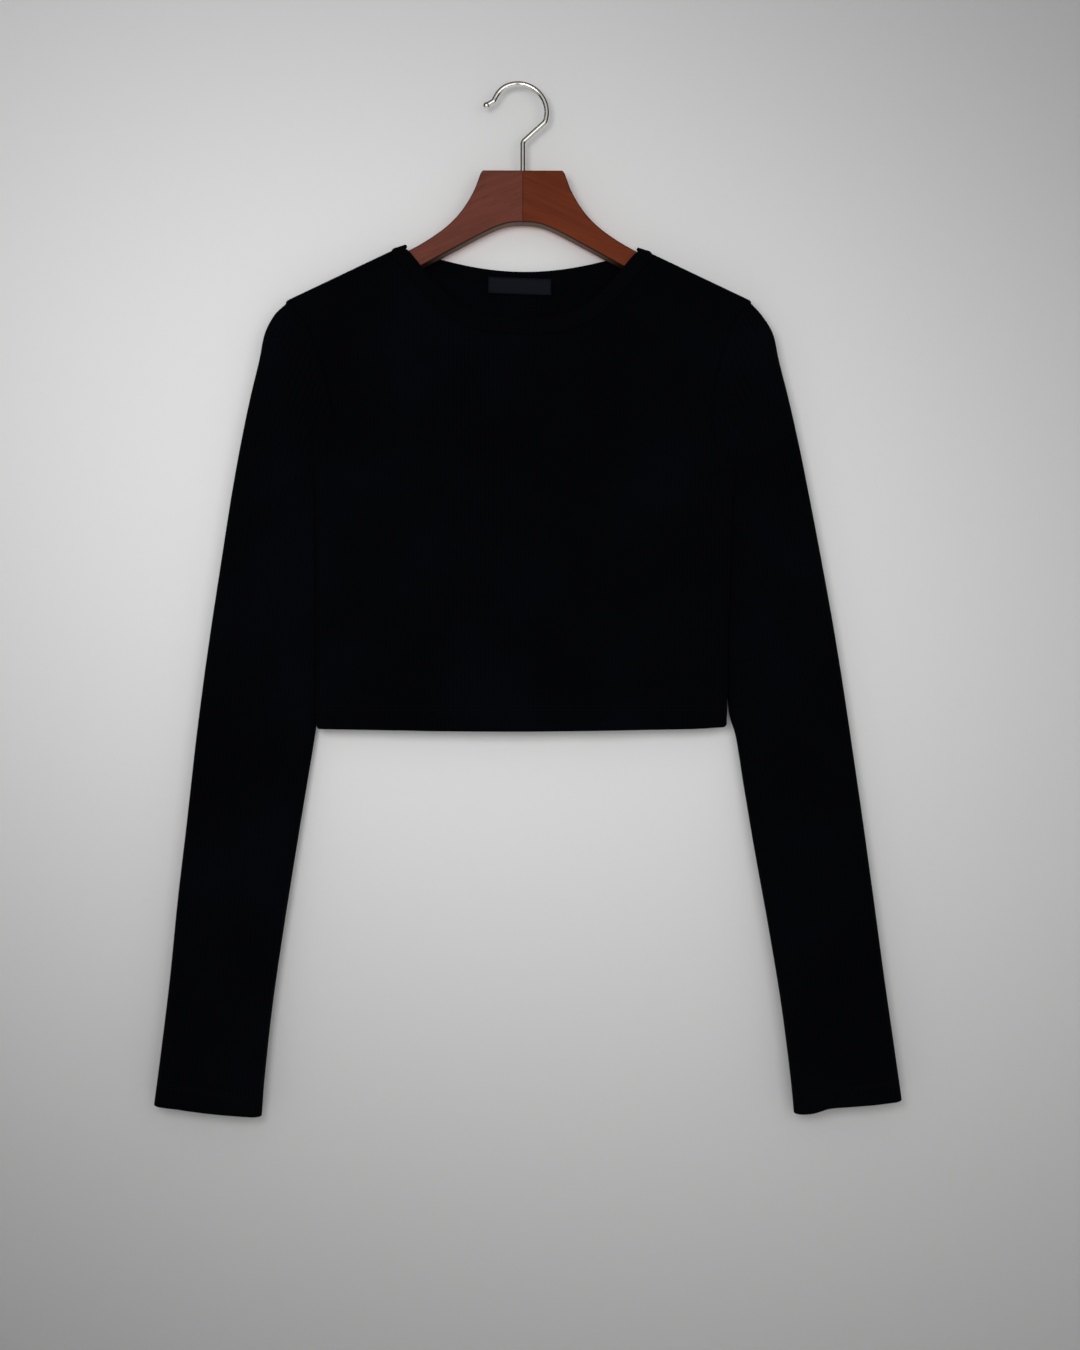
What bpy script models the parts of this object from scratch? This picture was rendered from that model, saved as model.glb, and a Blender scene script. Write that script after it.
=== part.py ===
"""Long-sleeved crop top hung on a wooden hanger with a wire hook.

Metres, +Z up, the front faces -Y. The origin lies under the crown of the hook, where a nail or
a rail holds the hanger. The cloth is a tube of two panels with two sleeves, each a wall worked
out from short tables of sections, with open neck, hem and cuffs.
"""

from collections import namedtuple
from math import atan2, cos, hypot, pi, radians, sin, sqrt

import bmesh
import bpy
from mathutils import Matrix, Vector

# ---------------------------------------------------------------- cloth
WALL = 0.0014
SEAM_GAP = 0.0003
TIP_RADIUS = 0.0024  # tightest bend of the cloth's outer face where it folds at an edge
FRONT = -1
BACK = 1

HEM_Z = -0.4892
UNDERARM_Z = -0.2918
SHOULDER_Z = -0.1633
SHOULDER_X = (-0.1748, 0.1759)
NECK_POINT_X = (-0.0945, 0.1003)
SHOULDER_SLOPE = radians(25.4)
SHOULDER_ROUND = 0.005  # how far below the shoulder line the panel has turned flat
SIDE_ROUND = 0.006

# Half widths of the torso and its half depths at the middle and next to its side.
TorsoRow = namedtuple("TorsoRow", "z left right mid_depth side_depth")
SIDE_ROWS = (
    TorsoRow(HEM_Z, -0.1520, 0.1577, 0.0098, 0.0050),
    TorsoRow(-0.4600, -0.1526, 0.1586, 0.0096, 0.0048),
    TorsoRow(-0.4100, -0.1530, 0.1598, 0.0092, 0.0045),
    TorsoRow(-0.3500, -0.1531, 0.1618, 0.0090, 0.0044),
    TorsoRow(-0.3200, -0.1535, 0.1630, 0.0090, 0.0045),
    TorsoRow(-0.3050, -0.1546, 0.1642, 0.0090, 0.0045),
    TorsoRow(UNDERARM_Z, -0.1564, 0.1658, 0.0090, 0.0046),
)
ARMHOLE_ROWS = (
    TorsoRow(UNDERARM_Z, -0.1564, 0.1658, 0.0090, 0.0046),
    TorsoRow(-0.2830, -0.1482, 0.1580, 0.0090, 0.0050),
    TorsoRow(-0.2700, -0.1412, 0.1496, 0.0090, 0.0056),
    TorsoRow(-0.2484, -0.1404, 0.1470, 0.0091, 0.0064),
    TorsoRow(-0.2310, -0.1440, 0.1492, 0.0092, 0.0072),
    TorsoRow(-0.2127, -0.1486, 0.1523, 0.0093, 0.0080),
    TorsoRow(-0.1975, -0.1535, 0.1565, 0.0094, 0.0086),
    TorsoRow(-0.1838, -0.1596, 0.1618, 0.0094, 0.0089),
    TorsoRow(SHOULDER_Z, SHOULDER_X[0], SHOULDER_X[1], 0.0094, 0.0089),
)

# The neckline drops from the neck points by depth * (1 - x**flat) ** steep.
Neckline = namedtuple("Neckline", "depth flat steep")
NECKLINES = {FRONT: Neckline(0.0570, 3.0, 1.30), BACK: Neckline(0.0178, 2.0, 1.2)}

# Broad soft folds of the panels: from one end to the other, half width and depth.
FOLD_FADE = 0.03  # they flatten out over this distance from the side seams
Fold = namedtuple("Fold", "x0 z0 x1 z1 width depth")
FOLDS = {
    FRONT: (
        Fold(-0.118, -0.300, -0.070, -0.215, 0.016, 0.0016),
        Fold(0.128, -0.296, 0.082, -0.212, 0.015, 0.0014),
        Fold(-0.112, -0.385, -0.088, -0.330, 0.020, 0.0019),
        Fold(-0.052, -0.489, -0.040, -0.400, 0.015, 0.0012),
        Fold(0.034, -0.489, 0.026, -0.420, 0.018, 0.0014),
        Fold(0.104, -0.489, 0.112, -0.380, 0.015, 0.0016),
    ),
    BACK: (
        Fold(-0.104, -0.260, -0.052, -0.190, 0.015, 0.0014),
        Fold(0.112, -0.262, 0.060, -0.192, 0.016, 0.0015),
        Fold(0.010, -0.330, -0.006, -0.230, 0.020, 0.0013),
        Fold(-0.070, -0.489, -0.060, -0.390, 0.017, 0.0015),
        Fold(0.060, -0.489, 0.070, -0.405, 0.016, 0.0013),
    ),
}

# Steps of the panel grid: columns across, rows up.
SHOULDER_STEPS = 5
NECK_STEPS = 12
ROUND_STEPS = 4
LOW_STEPS = 8
HIGH_STEPS = (0.03, 0.08, 0.16, 0.26, 0.37, 0.49, 0.62, 0.75, 0.88, 1.0)
LAYER_STEPS = len(HIGH_STEPS) + ROUND_STEPS  # from one fold of a sleeve's ring to the other

# One row for each ring of the sleeves: where it meets the outer and the inner fold, how far
# behind the middle plane its inner half lies, and its half depths.
SleeveRow = namedtuple(
    "SleeveRow",
    "outer_z outer_left outer_right inner_z inner_left inner_right behind outer_depth inner_depth",
)
SLEEVE_ROWS = (
    SleeveRow(SHOULDER_Z, -0.1748, 0.1759, UNDERARM_Z, -0.1564, 0.1658, 0.0000, 0.0089, 0.0046),
    SleeveRow(-0.1743, -0.1849, 0.1850, -0.2990, -0.1586, 0.1682, 0.0014, 0.0086, 0.0040),
    SleeveRow(-0.1884, -0.1923, 0.1936, -0.3090, -0.1572, 0.1668, 0.0030, 0.0084, 0.0037),
    SleeveRow(-0.2082, -0.1964, 0.1980, -0.3220, -0.1549, 0.1645, 0.0043, 0.0080, 0.0035),
    SleeveRow(-0.2386, -0.2037, 0.2057, -0.3440, -0.1523, 0.1611, 0.0052, 0.0074, 0.0034),
    SleeveRow(-0.2766, -0.2115, 0.2142, -0.3700, -0.1519, 0.1602, 0.0054, 0.0069, 0.0034),
    SleeveRow(-0.3146, -0.2182, 0.2218, -0.4000, -0.1518, 0.1592, 0.0054, 0.0066, 0.0034),
    SleeveRow(-0.3602, -0.2253, 0.2305, -0.4340, -0.1519, 0.1588, 0.0054, 0.0065, 0.0034),
    SleeveRow(-0.4058, -0.2323, 0.2388, -0.4650, -0.1522, 0.1604, 0.0052, 0.0065, 0.0038),
    SleeveRow(-0.4514, -0.2388, 0.2463, -0.4940, -0.1549, 0.1652, 0.0046, 0.0065, 0.0045),
    SleeveRow(-0.4970, -0.2446, 0.2531, -0.5300, -0.1607, 0.1716, 0.0036, 0.0066, 0.0054),
    SleeveRow(-0.5578, -0.2514, 0.2619, -0.5810, -0.1689, 0.1800, 0.0022, 0.0067, 0.0062),
    SleeveRow(-0.6186, -0.2585, 0.2703, -0.6380, -0.1778, 0.1902, 0.0012, 0.0069, 0.0067),
    SleeveRow(-0.6794, -0.2646, 0.2785, -0.6960, -0.1862, 0.1997, 0.0006, 0.0071, 0.0070),
    SleeveRow(-0.7402, -0.2720, 0.2872, -0.7530, -0.1925, 0.2070, 0.0000, 0.0073, 0.0073),
    SleeveRow(-0.7735, -0.2764, 0.2914, -0.7808, -0.1947, 0.2096, 0.0000, 0.0076, 0.0076),
)
# How much each ring next to the armhole still has of its curve, and of its points' places.
ARMHOLE_FADE = ((1.0, 1.0), (0.50, 0.8), (0.24, 0.5), (0.09, 0.25), (0.02, 0.1))
# The sleeve stands off the underarm point by this much, and less along the next few points.
UNDERARM_EASE = (0.0012, 0.0006, 0.0003)
UNDERARM_SHARES = (1.0, 0.75, 0.4, 0.12)
# Shares across a ring between which it steps behind the torso, and where the armhole's curve fades.
STEP_BACK = (0.10, 0.85)
CURVE_END = (0.6, 1.0)
SLEEVE_ROUND = 0.007
SLEEVE_ROUND_STEPS = 3
MITRE_LIMIT = -0.2  # cosine of the sharpest corner at which a wall's inner edge is still mitred
LEAST_SQUARE = 0.2  # least sine used for the angle between a ring and the fold that it ends on

BAND_WIDTH = 0.0105
BAND_GAP = 0.0005
BAND_THICK = 0.0026
BAND_GAP_TURN = 0.8  # least 1 + cosine of the neckline's turn used for the band's gap
BAND_TURN = 0.034  # the band's direction is averaged over this distance both ways
BAND_LEAN = 0.05  # how much the band leans in where it crosses the shoulder
BAND_SWELL = 1.05
# Outline of the band's section: share of its width, share of half its thickness.
BAND_SECTION = (
    (0.00, -1.0), (0.30, -BAND_SWELL), (0.80, -0.95), (1.0, -0.45),
    (1.00, 0.45), (0.80, 0.95), (0.30, BAND_SWELL), (0.00, 1.0),
)

LABEL_WIDTH = 0.048
LABEL_HEIGHT = 0.0125
LABEL_THICK = 0.0010
LABEL_X = 0.0012
LABEL_TOP_Z = -0.1432
LABEL_DROOP = 0.0018  # its right end sits this much lower
LABEL_STEPS = 8

# ---------------------------------------------------------------- hanger
WOOD_X = 0.0036
WOOD_TILT = radians(-0.2)  # the hanger hangs a little lower on the right
WOOD_THICK = 0.013
WOOD_EDGE = 0.0018
JOINT_GAP = 0.0003
WOOD_TOP_Z = -0.0660
WOOD_TOP_HALF = 0.0300
ARCH_Z = -0.1048
ARM_HEIGHT = 0.0138
ARM_TIP_STEPS = 5

# The outline of one half, from the block at the middle down the flank and out along the arm.
WoodPoint = namedtuple("WoodPoint", "half z")
FLANK = (
    WoodPoint(0.0318, -0.0682),
    WoodPoint(0.0338, -0.0737),
    WoodPoint(0.0361, -0.0797),
    WoodPoint(0.0392, -0.0858),
    WoodPoint(0.0428, -0.0918),
    WoodPoint(0.0472, -0.0979),
    WoodPoint(0.0525, -0.1039),
    WoodPoint(0.0590, -0.1098),
    WoodPoint(0.0675, -0.1160),
    WoodPoint(0.0770, -0.1220),
    WoodPoint(0.0850, -0.1264),
)
ARM_TOP_TIP = WoodPoint(0.1620, -0.1616)
UNDERSIDE = (
    WoodPoint(0.0760, -0.1379),
    WoodPoint(0.0620, -0.1303),
    WoodPoint(0.0460, -0.1217),
    WoodPoint(0.0310, -0.1137),
    WoodPoint(0.0190, -0.1081),
    WoodPoint(0.0095, -0.1054),
)

WIRE = 0.0035
HOOK_RADIUS = 0.0218  # of the wire's centre line
HOOK_START = radians(-19)
HOOK_END = radians(151)
HOOK_STEPS = 20
STEM_TOP_Z = -0.0425
STEM_DEPTH = 0.018
HOLE_RADIUS = 0.0022
BALL_RADIUS = 0.0023
BALL_STEPS = 6
BALL_AT = (-0.0240, -0.0142)
HOOK_SIDES = 2  # bevel_resolution

BLACK = (0.0035, 0.0035, 0.0042, 1.0)
NAVY = (0.010, 0.012, 0.020, 1.0)
WALNUT = (0.125, 0.036, 0.017, 1.0)
CHROME = (0.62, 0.59, 0.54, 1.0)


def lerp(a, b, t):
    return a + (b - a) * t


def between(value, ends):
    """Where the value lies between two ends, 0 to 1 from the first to the second."""
    return (value - ends[0]) / (ends[1] - ends[0])


def smooth(t):
    t = min(1.0, max(0.0, t))
    return t * t * (3 - 2 * t)


def quarter(distance, radius):
    """Rise of a rounded edge, 0 at the edge and 1 from radius inwards."""
    if distance >= radius:
        return 1.0
    return sqrt(max(0.0, 1 - (1 - distance / radius) ** 2))


def read_rows(rows, z):
    """The row at height z, on a smooth curve through the table's rows, which run upwards."""
    z = min(max(z, rows[0].z), rows[-1].z)
    index = max(k for k in range(len(rows) - 1) if rows[k].z <= z)
    low, high = rows[index], rows[index + 1]
    span = high.z - low.z
    before = rows[max(index - 1, 0)]
    after = rows[min(index + 2, len(rows) - 1)]
    t = (z - low.z) / span
    values = []
    for a, b, c, d in zip(before, low, high, after):
        start = (c - a) / (high.z - before.z) * span
        end = (d - b) / (after.z - low.z) * span
        hermite = (2 * t**3 - 3 * t**2 + 1) * b + (t**3 - 2 * t**2 + t) * start
        hermite += (3 * t**2 - 2 * t**3) * c + (t**3 - t**2) * end
        values.append(hermite)
    return TorsoRow(*values)


def torso_row(z):
    return read_rows(SIDE_ROWS if z <= UNDERARM_Z else ARMHOLE_ROWS, z)


def shoulder_z(x):
    """Height of the shoulder line, or of its extension, above x."""
    ends = SHOULDER_X
    middle = (ends[0] + ends[1]) / 2
    reach = (x - ends[0]) if x < middle else (ends[1] - x)
    return SHOULDER_Z + reach * sin(SHOULDER_SLOPE) / cos(SHOULDER_SLOPE)


def fold_depth(side, x, z):
    """How far the soft folds draw the panel in at this place."""
    total = 0.0
    for fold in FOLDS[side]:
        run_x, run_z = fold.x1 - fold.x0, fold.z1 - fold.z0
        length = hypot(run_x, run_z)
        along = ((x - fold.x0) * run_x + (z - fold.z0) * run_z) / length
        across = ((x - fold.x0) * run_z - (z - fold.z0) * run_x) / length
        past = max(0.0, -along, along - length)
        reach = hypot(across / fold.width, past / (2 * fold.width))
        total += fold.depth * smooth(1 - reach)
    return total


def panel_depth(side, x, z):
    """Half depth of the torso's outer face at a place of the panel's outline."""
    row = torso_row(z)
    middle = (row.left + row.right) / 2
    share = min(1.0, abs(x - middle) / ((row.right - row.left) / 2))
    depth = lerp(row.mid_depth, row.side_depth, share**2)
    ends = torso_row(min(z, UNDERARM_Z))
    over = max(0.0, z - UNDERARM_Z)
    side_distance = min(hypot(x - ends.left, over), hypot(ends.right - x, over))
    shoulder_distance = (shoulder_z(x) - z) * cos(SHOULDER_SLOPE)
    depth -= fold_depth(side, x, z) * smooth(side_distance / FOLD_FADE)
    depth *= quarter(side_distance, SIDE_ROUND)
    return max(SEAM_GAP / 2, depth * quarter(shoulder_distance, SHOULDER_ROUND))


def neck_edge(side, x):
    """Height of the panel's neckline at x, between the two shoulders."""
    line = NECKLINES[side]
    left, right = NECK_POINT_X
    share = min(1.0, abs(2 * (x - left) / (right - left) - 1))
    top = lerp(shoulder_z(left), shoulder_z(right), (x - left) / (right - left))
    return top - shoulder_drop() - line.depth * (1 - share**line.flat) ** line.steep


def shoulder_drop():
    """Height over which the panel turns to the top of the shoulder."""
    return SHOULDER_ROUND / cos(SHOULDER_SLOPE)


def column_tops(side):
    """(x, z) where each column of the panel ends: on a shoulder line or on the neckline."""
    tops = []
    for k in range(SHOULDER_STEPS):
        x = lerp(SHOULDER_X[0], NECK_POINT_X[0], k / SHOULDER_STEPS)
        tops.append((x, shoulder_z(x) - shoulder_drop()))
    for k in range(NECK_STEPS + 1):
        x = lerp(*NECK_POINT_X, k / NECK_STEPS)
        tops.append((x, neck_edge(side, x)))
    for k in range(1, SHOULDER_STEPS + 1):
        x = lerp(NECK_POINT_X[1], SHOULDER_X[1], k / SHOULDER_STEPS)
        tops.append((x, shoulder_z(x) - shoulder_drop()))
    return tops


def column_shares(count, width):
    """Places of the columns across the lower torso, close together where its sides turn."""
    turn = [SIDE_ROUND * (1 - cos(pi / 2 * k / ROUND_STEPS)) / width for k in range(ROUND_STEPS)]
    flat = count - 2 * ROUND_STEPS
    edge = SIDE_ROUND / width
    middle = [lerp(edge, 1 - edge, k / flat) for k in range(flat + 1)]
    return turn + middle + [1 - share for share in reversed(turn)]


def panel_grid(side):
    """The panel's outer face: {(row, column): point}. Shoulder columns have extra top rows."""
    tops = column_tops(side)
    columns = len(tops) - 1
    grid = {}
    for column, (top_x, top_z) in enumerate(tops):
        in_shoulder = not SHOULDER_STEPS < column < columns - SHOULDER_STEPS
        heights = [lerp(HEM_Z, UNDERARM_Z, k / LOW_STEPS) for k in range(LOW_STEPS + 1)]
        heights += [lerp(UNDERARM_Z, top_z, share) for share in HIGH_STEPS]
        if in_shoulder:
            for k in range(1, ROUND_STEPS + 1):
                heights.append(top_z + shoulder_drop() * sin(pi / 2 * k / ROUND_STEPS))
        top_row = torso_row(top_z)
        top_share = (top_x - top_row.left) / (top_row.right - top_row.left)
        top_share = {0: 0.0, columns: 1.0}.get(column, top_share)
        for row, z in enumerate(heights):
            ends = torso_row(z)
            width = ends.right - ends.left
            low_share = column_shares(columns, width)[column]
            turn = smooth((z - UNDERARM_Z) / (top_z - UNDERARM_Z))
            x = ends.left + width * lerp(low_share, top_share, turn)
            if z > top_z:
                reach = (z - top_z) / shoulder_drop()
                edge = {0: ends.left, columns: ends.right}
                x = edge.get(column, lerp(x, top_x, smooth(reach)))
            grid[row, column] = Vector((x, side * panel_depth(side, x, z), z))
    return grid


def armhole_edge(grid, column):
    """The panel's armhole points, from the shoulder down to the underarm."""
    rows = sorted((row for row, place in grid if place == column), reverse=True)
    return [grid[row, column] for row in rows if row >= LOW_STEPS]


def grid_normals(grid, outwards):
    """A unit normal for each grid point, pointing away from the point outwards(point)."""
    normals = {}
    for (row, column), point in grid.items():
        up = grid.get((row + 1, column), point) - grid.get((row - 1, column), point)
        across = grid.get((row, column + 1), point) - grid.get((row, column - 1), point)
        normal = up.cross(across).normalized()
        if normal.dot(outwards(point)) < 0:
            normal.negate()
        normals[row, column] = normal
    return normals


def flatten_at_seams(normals, grid):
    """At the seams of the side and shoulder the tube runs straight on into its other half."""
    for place, point in grid.items():
        if abs(point.y) <= SEAM_GAP:
            normals[place].y = 0.0
            normals[place].normalize()


def shell_mesh(name, outer, inner, wrap=None):
    """A closed wall between two grids of the same places, with its edges closed."""
    mesh = bmesh.new()
    outside = {place: mesh.verts.new(point) for place, point in outer.items()}
    inside = {place: mesh.verts.new(point) for place, point in inner.items()}
    quads = []
    for row, column in outer:
        after = (column + 1) % wrap if wrap else column + 1
        corners = [(row, column), (row, after), (row + 1, after), (row + 1, column)]
        if all(corner in outer for corner in corners):
            quads.append(corners)
    sides = {}
    for corners in quads:
        mesh.faces.new([outside[corner] for corner in corners])
        mesh.faces.new([inside[corner] for corner in reversed(corners)])
        for start, end in zip(corners, corners[1:] + corners[:1]):
            if (end, start) in sides:
                del sides[end, start]
            else:
                sides[start, end] = True
    for start, end in sides:
        mesh.faces.new((outside[end], outside[start], inside[start], inside[end]))
    bmesh.ops.recalc_face_normals(mesh, faces=mesh.faces)
    data = bpy.data.meshes.new(name)
    mesh.to_mesh(data)
    mesh.free()
    return data


def even_shares(outer_turn, inner_turn):
    """Places across a ring from its outer fold to its inner one, close together at both."""
    angles = [pi / 2 * k / SLEEVE_ROUND_STEPS for k in range(SLEEVE_ROUND_STEPS)]
    steps = LAYER_STEPS - 2 * SLEEVE_ROUND_STEPS
    places = [outer_turn * (1 - cos(angle)) for angle in angles]
    places += [lerp(outer_turn, 1 - inner_turn, k / steps) for k in range(steps + 1)]
    places += [1 - inner_turn * (1 - cos(angle)) for angle in reversed(angles)]
    return places


def armhole_shares():
    """Places of the armhole's points along it, from the shoulder down to the underarm."""
    top = shoulder_drop() / (SHOULDER_Z - UNDERARM_Z)
    places = [top * (1 - sin(pi / 2 * k / ROUND_STEPS)) for k in range(ROUND_STEPS, 0, -1)]
    places += [lerp(1.0, top, share) for share in reversed(HIGH_STEPS)]
    return places + [1.0]


def ring_ends(which):
    """For each ring of a sleeve: its outer end, its inner end and how square it is to each fold."""
    ends = []
    for row in SLEEVE_ROWS:
        outer_x = (row.outer_left, row.outer_right)[which]
        inner_x = (row.inner_left, row.inner_right)[which]
        ends.append((Vector((outer_x, 0, row.outer_z)), Vector((inner_x, 0, row.inner_z))))
    found = []
    for ring, (outer, inner) in enumerate(ends):
        before, after = ends[max(ring - 1, 0)], ends[min(ring + 1, len(ends) - 1)]
        along = (inner - outer).normalized()
        folds = [(late - early).normalized() for early, late in zip(before, after)]
        squares = [max(LEAST_SQUARE, along.cross(fold).length) for fold in folds]
        found.append((outer, inner, *squares))
    return found


def sleeve_layer(row, ends, side, like_armhole, inset=0.0):
    """(share, point) across one layer of a ring, moved in from the sleeve's outer face by inset."""
    outer, inner, outer_square, inner_square = ends
    length = (inner - outer).length
    start = inset / outer_square
    stop = inset / inner_square
    span = length - start - stop
    outer_turn = min(SLEEVE_ROUND, row.outer_depth**2 / TIP_RADIUS) / outer_square - start
    inner_turn = min(SLEEVE_ROUND, row.inner_depth**2 / TIP_RADIUS) / inner_square - stop
    layer = []
    evenly = even_shares(outer_turn / span, inner_turn / span)
    for even, seam in zip(evenly, armhole_shares()):
        place = lerp(even, seam, like_armhole) * span
        share = (start + place) / length
        point = outer.lerp(inner, share)
        half = lerp(row.outer_depth, row.inner_depth, smooth(share)) - inset
        half *= quarter(place, outer_turn) * quarter(span - place, inner_turn)
        point.y = row.behind * smooth(between(share, STEP_BACK)) + side * half
        layer.append((share, point))
    return layer


def sleeve_rings(which, armhole, inset):
    """A face of the sleeve: {(ring, place): point}, bent near the top to follow the armhole."""
    ends = ring_ends(which)
    grid = {}
    for ring, row in enumerate(SLEEVE_ROWS):
        fade, like = ARMHOLE_FADE[ring] if ring < len(ARMHOLE_FADE) else (0.0, 0.0)
        layers = {}
        for side in (FRONT, BACK):
            first = sleeve_layer(SLEEVE_ROWS[0], ends[0], side, 1.0)
            layers[side] = []
            for k, (share, point) in enumerate(sleeve_layer(row, ends[ring], side, like, inset)):
                near = fade * (1 - smooth(between(share, CURVE_END)))
                layers[side].append(point + (armhole[side][k] - first[k][1]) * near)
        loop = layers[FRONT] + layers[BACK][-2:0:-1]
        for k, point in enumerate(loop):
            grid[ring, k] = point
    return grid


def seam_normals(grid, count):
    """Normals of a sleeve along its top two rings, pointing away from its middle."""
    normals = {}
    for ring in (0, 1):
        for k in range(count):
            around = grid[ring, (k + 1) % count] - grid[ring, (k - 1) % count]
            along = grid[ring + 1, k] - grid[max(ring - 1, 0), k]
            normals[ring, k] = around.cross(along).normalized()
    if normals[1, count // 4].y > 0:
        return {place: -normal for place, normal in normals.items()}
    return normals


def mitre(first, second):
    """Inward step of the wall where two faces with these normals meet."""
    return -(first + second) * WALL / (1 + max(MITRE_LIMIT, first.dot(second)))


def make_torso_and_sleeves(collection, materials):
    grids = {side: panel_grid(side) for side in (FRONT, BACK)}
    columns = max(column for _, column in grids[FRONT])
    normals = {}
    for side in (FRONT, BACK):
        normals[side] = grid_normals(grids[side], lambda point, side=side: Vector((0, side, 0.01)))
        flatten_at_seams(normals[side], grids[side])
    inner = {
        side: {place: point - normals[side][place] * WALL for place, point in grids[side].items()}
        for side in (FRONT, BACK)
    }
    for which, column in enumerate((0, columns)):
        armhole = {side: armhole_edge(grids[side], column) for side in (FRONT, BACK)}
        loop = armhole[FRONT] + armhole[BACK][-2:0:-1]
        rings = sleeve_rings(which, armhole, 0.0)
        walls = sleeve_rings(which, armhole, WALL)
        rings.update({(0, k): point.copy() for k, point in enumerate(loop)})
        for end in (0, LAYER_STEPS):
            rings[0, end].y = 0.0
        count = 2 * LAYER_STEPS
        turned = seam_normals(rings, count)
        seam = {}
        for k in range(count):
            side = FRONT if k <= LAYER_STEPS else BACK
            row = LOW_STEPS + LAYER_STEPS - (k if k <= LAYER_STEPS else count - k)
            off = abs(k - LAYER_STEPS)
            ease = UNDERARM_SHARES[off] if off < len(UNDERARM_SHARES) else 0.0
            turned[0, k] = turned[int(ease > 0), k]
            step = mitre(normals[side][row, column], turned[0, k])
            if k in (0, LAYER_STEPS):
                step.y = 0.0
            panel_step = step.lerp(-normals[side][row, column] * WALL, min(1, 2 * ease))
            for face in ((FRONT, BACK) if k in (0, LAYER_STEPS) else (side,)):
                inner[face][row, column] = grids[face][row, column] + panel_step
            tangent = rings[0, (k + 1) % count] - rings[0, (k - 1) % count]
            shift = step.cross(tangent).normalized() * SEAM_GAP
            if shift.dot(rings[1, k] - rings[0, k]) < 0:
                shift.negate()
            out, back, up = UNDERARM_EASE
            apart = Vector((-out if which == 0 else out, back, up))
            start = rings[0, k] + shift.lerp(apart, ease)
            seam[k] = start, start + step.lerp(-turned[0, k] * WALL, min(1, 2 * ease))
        for k, (start, wall) in seam.items():
            rings[0, k], walls[0, k] = start, wall
        name = ("sleeve_left", "sleeve_right")[which]
        place_mesh(name, shell_mesh(name, rings, walls, wrap=count), materials["cloth"], collection)
    for side, name in ((FRONT, "front"), (BACK, "back")):
        data = shell_mesh(name, grids[side], inner[side])
        place_mesh(name, data, materials["cloth"], collection)
    return grids, normals


def neckline_loop(grids, normals):
    """(point, normal, even normal) round the neckline, down the front and back over the other side.

    The even normal turns at a steady rate where the neckline crosses the top of a shoulder.
    """
    left, right = SHOULDER_STEPS, SHOULDER_STEPS + NECK_STEPS
    flat_row = LOW_STEPS + len(HIGH_STEPS)
    top_row = flat_row + ROUND_STEPS
    path = [(row, left) for row in range(top_row, flat_row, -1)]
    path += [(flat_row, column) for column in range(left, right + 1)]
    path += [(row, right) for row in range(flat_row + 1, top_row + 1)]
    loop = []
    for side, places in ((FRONT, path), (BACK, path[-2:0:-1])):
        for row, column in places:
            normal = normals[side][row, column]
            turn = pi / 2 * (row - flat_row) / ROUND_STEPS
            lean = sin(SHOULDER_SLOPE) * (-1 if column == left else 1)
            even = Vector((lean * sin(turn), side * cos(turn), cos(SHOULDER_SLOPE) * sin(turn)))
            loop.append((grids[side][row, column], normal, even if turn else normal))
    return loop


def band_direction(loop, sides, k):
    """Direction across the band at one point, averaged over a length of the neckline."""
    total = Vector()
    for step in (-1, 1):
        distance = 0.0
        near = k
        while distance < BAND_TURN:
            segment = near if step == -1 else (near + 1) % len(loop)
            after = (near + step) % len(loop)
            length = (loop[after][0] - loop[near][0]).length
            middle = distance + length / 2
            total += sides[segment] * length * max(0.0, 1 - middle / BAND_TURN)
            distance += length
            near = after
    even = loop[k][2]
    return (total - even * total.dot(even)).normalized()


def make_neckband(grids, normals, collection, materials):
    loop = neckline_loop(grids, normals)
    count = len(loop)
    sides = []
    for k in range(count):
        tangent = loop[k][0] - loop[k - 1][0]
        sides.append((loop[k][1] + loop[k - 1][1]).cross(tangent).normalized())
    mesh = bmesh.new()
    rings = []
    for k, (point, normal, even) in enumerate(loop):
        local = [normal.cross(point - loop[k - 1][0]).normalized()]
        local.append(normal.cross(loop[(k + 1) % count][0] - point).normalized())
        corner = 1 + local[0].dot(local[1])
        clear = (local[0] + local[1]) / max(BAND_GAP_TURN, corner) * BAND_GAP
        towards = band_direction(loop, sides, k)
        towards -= even * BAND_LEAN * max(0.0, even.z)
        start = point - even * WALL / 2 + clear
        if abs(point.y) <= SEAM_GAP:
            start.y = 0.0
        ring = []
        for share, height in BAND_SECTION:
            place = start + towards * BAND_WIDTH * share + even * BAND_THICK / 2 * height
            ring.append(mesh.verts.new(place))
        rings.append(ring)
    for k, ring in enumerate(rings):
        ahead = rings[(k + 1) % count]
        for corner in range(len(ring)):
            after = (corner + 1) % len(ring)
            mesh.faces.new((ring[corner], ring[after], ahead[after], ahead[corner]))
    bmesh.ops.recalc_face_normals(mesh, faces=mesh.faces)
    data = bpy.data.meshes.new("neckband")
    mesh.to_mesh(data)
    mesh.free()
    place_mesh("neckband", data, materials["cloth"], collection)


def make_label(collection, materials):
    """A woven strip on the inside of the back, clear of the band's inner face."""
    outer, inner = {}, {}
    for row in (0, 1):
        for column in range(LABEL_STEPS + 1):
            share = column / LABEL_STEPS
            x = LABEL_X + LABEL_WIDTH * (share - 0.5)
            z = LABEL_TOP_Z - LABEL_DROOP * share - LABEL_HEIGHT * row
            face = panel_depth(BACK, x, z) - WALL / 2 - BAND_THICK / 2 * BAND_SWELL - SEAM_GAP
            outer[row, column] = Vector((x, face - LABEL_THICK, z))
            inner[row, column] = Vector((x, face, z))
    data = shell_mesh("neck_label", outer, inner)
    place_mesh("neck_label", data, materials["label"], collection)


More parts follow.
